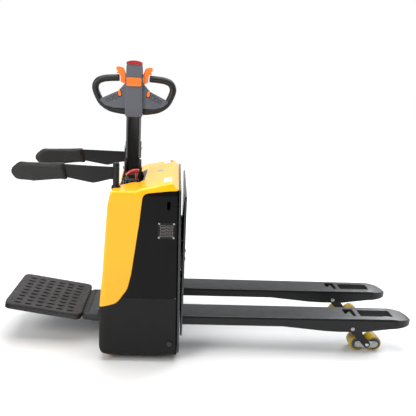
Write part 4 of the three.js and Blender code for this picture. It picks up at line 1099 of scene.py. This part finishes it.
def laid(obj):
    """Takes a piece from the platform's own level to its place, tilted about the hinge."""
    return moved(turned(obj, PLATFORM_TILT, "Y", (0, 0, 0)), x=PLATFORM_HINGE_X, z=PLATFORM_HINGE_Z)


def add_platform():
    rear = -396
    front = -22
    tray = cut(
        prism(rectangle(rear, front, -211, 211, 38, 12), "z", -7, PLATFORM_DECK_Z),
        prism(rectangle(rear + 8, front - 8, -203, 203, 32, 12), "z", -8, PLATFORM_DECK_Z - 4),
    )
    web = rounded([(-60, -4), (0, -13), (0, 11), (-60, PLATFORM_DECK_Z)])
    tray = cut(join(tray, rod("y", 0, 0, -154, 154, 13), prism(web, "y", -154, 154)), rod("y", 0, 0, -160, 160, 7.3))
    piece(laid(tray), "platform_tray", "platform", FRAME_BLACK, "platform", bevel=1.2)

    top = PLATFORM_DECK_Z + 10
    mat = soften(prism(rectangle(rear + 1, front - 1, -210, 210, 37, 12), "z", PLATFORM_DECK_Z + 0.3, top), 2.4, 2)
    turns = [math.pi * k / 14 for k in range(15)]
    outer = [Vector((18 * math.cos(a), -11 * math.sin(a))) for a in turns]
    inner = [Vector((18 * math.cos(a), -3 * math.sin(a))) for a in reversed(turns[1:-1])]
    shadow_inlays, studs = [], []
    for row in range(9):
        for column in range(6):
            x, y = -337 + column * 51, -180 + row * 42
            # Each crescent is a near-black inlay lying just proud of the mat in front of a stud: painted shade, not
            # a real slot.
            shadow_inlays.append(moved(prism([*outer, *inner], "z", top - 1, top + 0.4), x=x, y=y))
            stud = solid([
                *[(p.x * 0.95, p.y * 0.27 + 0.4, top + 3.2 * math.sin(a) - 0.3) for p, a in zip(outer, turns)],
                *[(p.x * 0.95, -p.y * 0.8 + 0.4, top - 0.6) for p in reversed(outer[1:-1])],
                (0, 0, top - 2),
            ], [tuple(range(28)), *[(k, 28, (k + 1) % 28) for k in range(28)]])
            studs.append(moved(stud, x=x, y=y))
    piece(laid(mat), "mat", "platform", MAT_RUBBER, "platform_mat")
    piece(laid(gather(studs)), "mat_studs", "platform", MAT_RUBBER, sharp=60)
    piece(laid(gather(shadow_inlays)), "mat_crescent_shadows", "platform", MAT_SHADE_INLAY)
    cover = prism(rectangle(-612, -540, -155, 155, 4), "z", 137.5, 141.5)
    piece(cover, "bracket_cover", "chassis", BRACKET_GREY, bevel=0.8)
    turns = [k * math.pi / 8 for k in range(16 * 7 + 1)]
    coil = [Vector((-556 + 11 * math.cos(a), -150 + a * 1.35, 153 + 11 * math.sin(a))) for a in turns]
    wire = sweep(coil, circle(0, 0, 2.4, 10), (0, 1, 0), round_end=1)
    piece(wire, "hinge_spring", "chassis", STEEL_Z, sharp=60)
    refined("platform_bracket", BRACKET_GREY, 1.4)


ARM_CURVE = smooth_line([(-420, 273), (-573, 272), (-693, 264), (-844, 249), (-969, 226), (-1000, 218)], 16)


def bent(obj, sign):
    """Bends a straight piece round the arm's inward curve."""
    xs = [p[0] for p in reversed(ARM_CURVE)]
    ys = [p[1] for p in reversed(ARM_CURVE)]
    for vertex in obj.data.vertices:
        vertex.co.y += sign * float(np.interp(vertex.co.x / MM, xs, ys)) * MM
    return obj


def inflated(obj, limit):
    """Blows a closed skin up like a padded cover, by no more than the limit."""
    start = np.array([tuple(v.co) for v in obj.data.vertices])
    cloth = obj.modifiers.new("cloth", "CLOTH")
    cloth.settings.quality = 6
    cloth.settings.mass = 0.3
    cloth.settings.use_pressure = True
    cloth.settings.uniform_pressure_force = PAD_PRESSURE
    cloth.settings.effector_weights.gravity = 0
    cloth.point_cache.frame_start = 1
    cloth.point_cache.frame_end = SIM_FRAMES
    for step in range(1, SIM_FRAMES + 1):
        bpy.context.scene.frame_set(step)
    apply_modifiers(obj)
    bpy.context.scene.frame_set(1)
    end = np.array([tuple(v.co) for v in obj.data.vertices])
    shift = end - start
    length = np.linalg.norm(shift, axis=1)
    shift *= (np.minimum(length, limit * MM) / np.maximum(length, 1e-9))[:, None]
    for vertex, place in zip(obj.data.vertices, start + shift):
        vertex.co = place
    return obj


def add_side_arms():
    bar_shape = rounded([(-458, 850), (-458, 904), (-705, 908), (-880, 888, 11), (-880, 858, 11), (-690, 846, 60),
                         (-573, 826, 60), (-500, 846, 60)])
    pad_shape = rounded([(-686, 840, 8), (-704, 917, 10), (-914, 910, 34), (-964, 868, 34), (-930, 826, 40),
                         (-844, 819, 80)])
    for name, sign in SIDES:
        post = lathe([(0, 250.3), (27, 250.3), (27, 258), (15, 258), (15, 845.7), (10, 845.7), (10, 908.3),
                      (15, 908.3), (15, 920), (14, 924), (12, 926.5), (6, 928), (0, 928)],
                     "z", (POST_X, sign * POST_Y, 0), 48)
        piece(post, f"{name}_post", "chassis", FRAME_BLACK, f"arm_post_{name}", sharp=40)
        ferrule = lathe([(15.2, 806), (21, 806), (21, 818), (19, 822), (15.2, 822)], "z",
                        (POST_X, sign * POST_Y, 0), 48, True)
        piece(ferrule, f"{name}_post_collar", "chassis", TRIM_BLACK)

        bar = bent(soften(prism(bar_shape, "y", -4, 4), 2.2, 2), sign)
        piece(bar, f"{name}_arm_bar", f"side_arm_{name}", FRAME_BLACK, f"side_arm_{name}", sharp=60)
        sleeve = lathe([(10.3, 846), (14.4, 846), (15, 846.6), (15, 907.4), (14.4, 908), (10.3, 908)], "z",
                       (POST_X, sign * POST_Y, 0), 48, True)
        piece(sleeve, f"{name}_arm_sleeve", f"side_arm_{name}", FRAME_BLACK)

        pad = soften(prism(pad_shape, "y", -14, 14), 5, 2)
        pad = inflated(pad, PAD_SWELL)
        smooth = pad.modifiers.new("smooth", "SUBSURF")
        smooth.levels = 1
        pad = bent(apply_modifiers(pad), sign)
        piece(pad, f"{name}_pad", f"side_arm_{name}", PAD_FOAM, f"arm_pad_{name}", sharp=180)


def add_casters():
    tread = both_ways([(28, 15.5), (37, 16), (39, 14.6), (40, 12)])
    core = both_ways([(6.5, 15), (12, 15), (13, 10), (26, 10), (28.2, 14.5)])
    for name, _ in SIDES:
        refined(f"caster_fork_{name}", STEEL_X, 0.8)
        node = f"caster_wheel_{name}"
        centre = middle_of(node)
        piece(lathe(tread, "y", centre, 64, True), f"{node}_tread", node, CASTER_AMBER, node, sharp=50)
        piece(lathe(core, "y", centre, 48, True), f"{node}_core", node, MOTOR_BLACK)


def add_drive_wheel():
    centre = middle_of("drive_wheel")
    tread = both_ways([(82, 32), (98, 33), (103, 31), (105, 26)])
    core = both_ways([(15.5, 30), (26, 31), (28, 22), (70, 18), (74, 29), (82.3, 31)])
    piece(lathe(tread, "x", centre, 96, True), "drive_tyre_ring", "drive_wheel", TYRE_RUBBER, "drive_wheel",
          sharp=50)
    piece(lathe(core, "x", centre, 64, True), "drive_hub", "drive_wheel", CASTING)


def paint_frame_nodes():
    """The hidden pieces keep the frame's own shapes and get finished surfaces."""
    for nodes, (shader, name) in (
        (("chassis_frame",), FRAME_BLACK),
        (("battery",), BATTERY),
        (("motor_controller",), CONTROLLER),
        (("pump_unit",), CASTING),
        (("lift_cylinder", "steering_tube"), FRAME_BLACK),
        (("drive_motor",), MOTOR_BLACK),
        (("drive_gearbox",), CASTING),
        (("steering_bearing", "lift_rod"), STEEL_Z),
        (("push_rod_right", "push_rod_left"), STEEL_X),
    ):
        for node in nodes:
            obj = frame["nodes"][node]
            obj.data.materials.clear()
            obj.data.materials.append(shader)


# ------------------------------------------------------------------ floor, light and camera

def add_floor():
    """A pale floor that glows more the farther it is from the truck, like a lit studio sweep all round."""
    floor = block(-20000, 20000, -20000, 20000, -20, 0)
    surface = Surface("studio_floor")
    distance = surface.node("VectorMath", [("operation", "LENGTH")], Vector=surface.place)
    pale = surface.mix(surface.spread(surface.noise(1.2, 3), 0.3, 0.7, 0, 1), (0.8, 0.8, 0.8, 1),
                       (0.84, 0.84, 0.84, 1))
    glow = surface.spread(distance.outputs["Value"], 0.8, 4.0, 0.0, 0.7)
    surface.set(Base_Color=pale, Roughness=0.6, Emission_Color=(1, 1, 1, 1), Emission_Strength=glow)
    floor.name = "floor"
    floor.data.materials.append(surface.material)


def add_world():
    """A pale backdrop behind the truck that darkens towards the camera's side; white where the camera sees it."""
    world = bpy.data.worlds.new("studio")
    world.use_nodes = True
    tree = world.node_tree
    tree.nodes.clear()
    parts = add_node(tree, "SeparateXYZ", Vector=add_node(tree, "TexCoord").outputs["Generated"])
    depth = add_node(tree, "MapRange", Value=parts.outputs["Y"], From_Min=-0.3, From_Max=0.5, To_Min=0.1,
                     To_Max=0.78)
    around = add_node(tree, "Background", Color=(0.93, 0.96, 1.0, 1), Strength=depth.outputs["Result"])
    seen = add_node(tree, "Background", Color=(1, 1, 1, 1))
    mix = add_node(tree, "MixShader")
    feed(tree, mix.inputs[0], add_node(tree, "LightPath").outputs["Is Camera Ray"])
    feed(tree, mix.inputs[1], around.outputs["Background"])
    feed(tree, mix.inputs[2], seen.outputs["Background"])
    add_node(tree, "OutputWorld", Surface=mix.outputs["Shader"])
    bpy.context.scene.world = world


def add_light(name, place, target, size, power, colour=(1, 1, 1)):
    data = bpy.data.lights.new(name, "AREA")
    data.shape = "RECTANGLE"
    data.size, data.size_y = size
    data.energy = power
    data.color = colour
    obj = linked(name, data)
    obj.location = place
    obj.rotation_euler = (Vector(target) - Vector(place)).to_track_quat("-Z", "Y").to_euler()


def add_camera():
    """The camera, turned by its yaw, its pitch down and then its roll, in radians."""
    yaw, pitch, roll = CAMERA_YAW, CAMERA_PITCH, CAMERA_ROLL
    ahead = Vector((math.sin(yaw) * math.cos(pitch), math.cos(yaw) * math.cos(pitch), -math.sin(pitch)))
    level = Vector((math.cos(yaw), -math.sin(yaw), 0))
    over = level.cross(ahead)
    right = math.cos(roll) * level + math.sin(roll) * over
    up = -math.sin(roll) * level + math.cos(roll) * over
    data = bpy.data.cameras.new("camera")
    data.lens = CAMERA_LENS
    obj = linked("camera", data)
    turn = Matrix((right, up, -ahead)).transposed().to_4x4()
    obj.matrix_world = Matrix.Translation(Vector(CAMERA_PLACE)) @ turn
    bpy.context.scene.camera = obj


def set_stage():
    add_floor()
    add_world()
    add_light("overhead", (0.0, 0.0, 3.2), (0, 0, 0), (3.4, 3.0), 130)
    add_light("key", (-2.6, -2.8, 2.4), (-0.2, 0, 0.5), (1.8, 1.8), 105, (1, 0.98, 0.95))
    add_light("rim", (2.4, 2.4, 2.2), (-0.2, 0, 0.6), (1.6, 1.6), 60, (0.94, 0.97, 1))
    add_camera()
    bpy.context.scene.view_settings.view_transform = "Standard"


# ------------------------------------------------------------------ the whole truck

add_covers()
add_well()
add_cover_details()
add_plates()
add_forks()
add_load_wheels()
add_head()
add_buttons()
add_levers()
add_grips()
add_column()
add_tiller_base()
add_switches()
add_platform()
add_side_arms()
add_casters()
add_drive_wheel()
paint_frame_nodes()
set_stage()
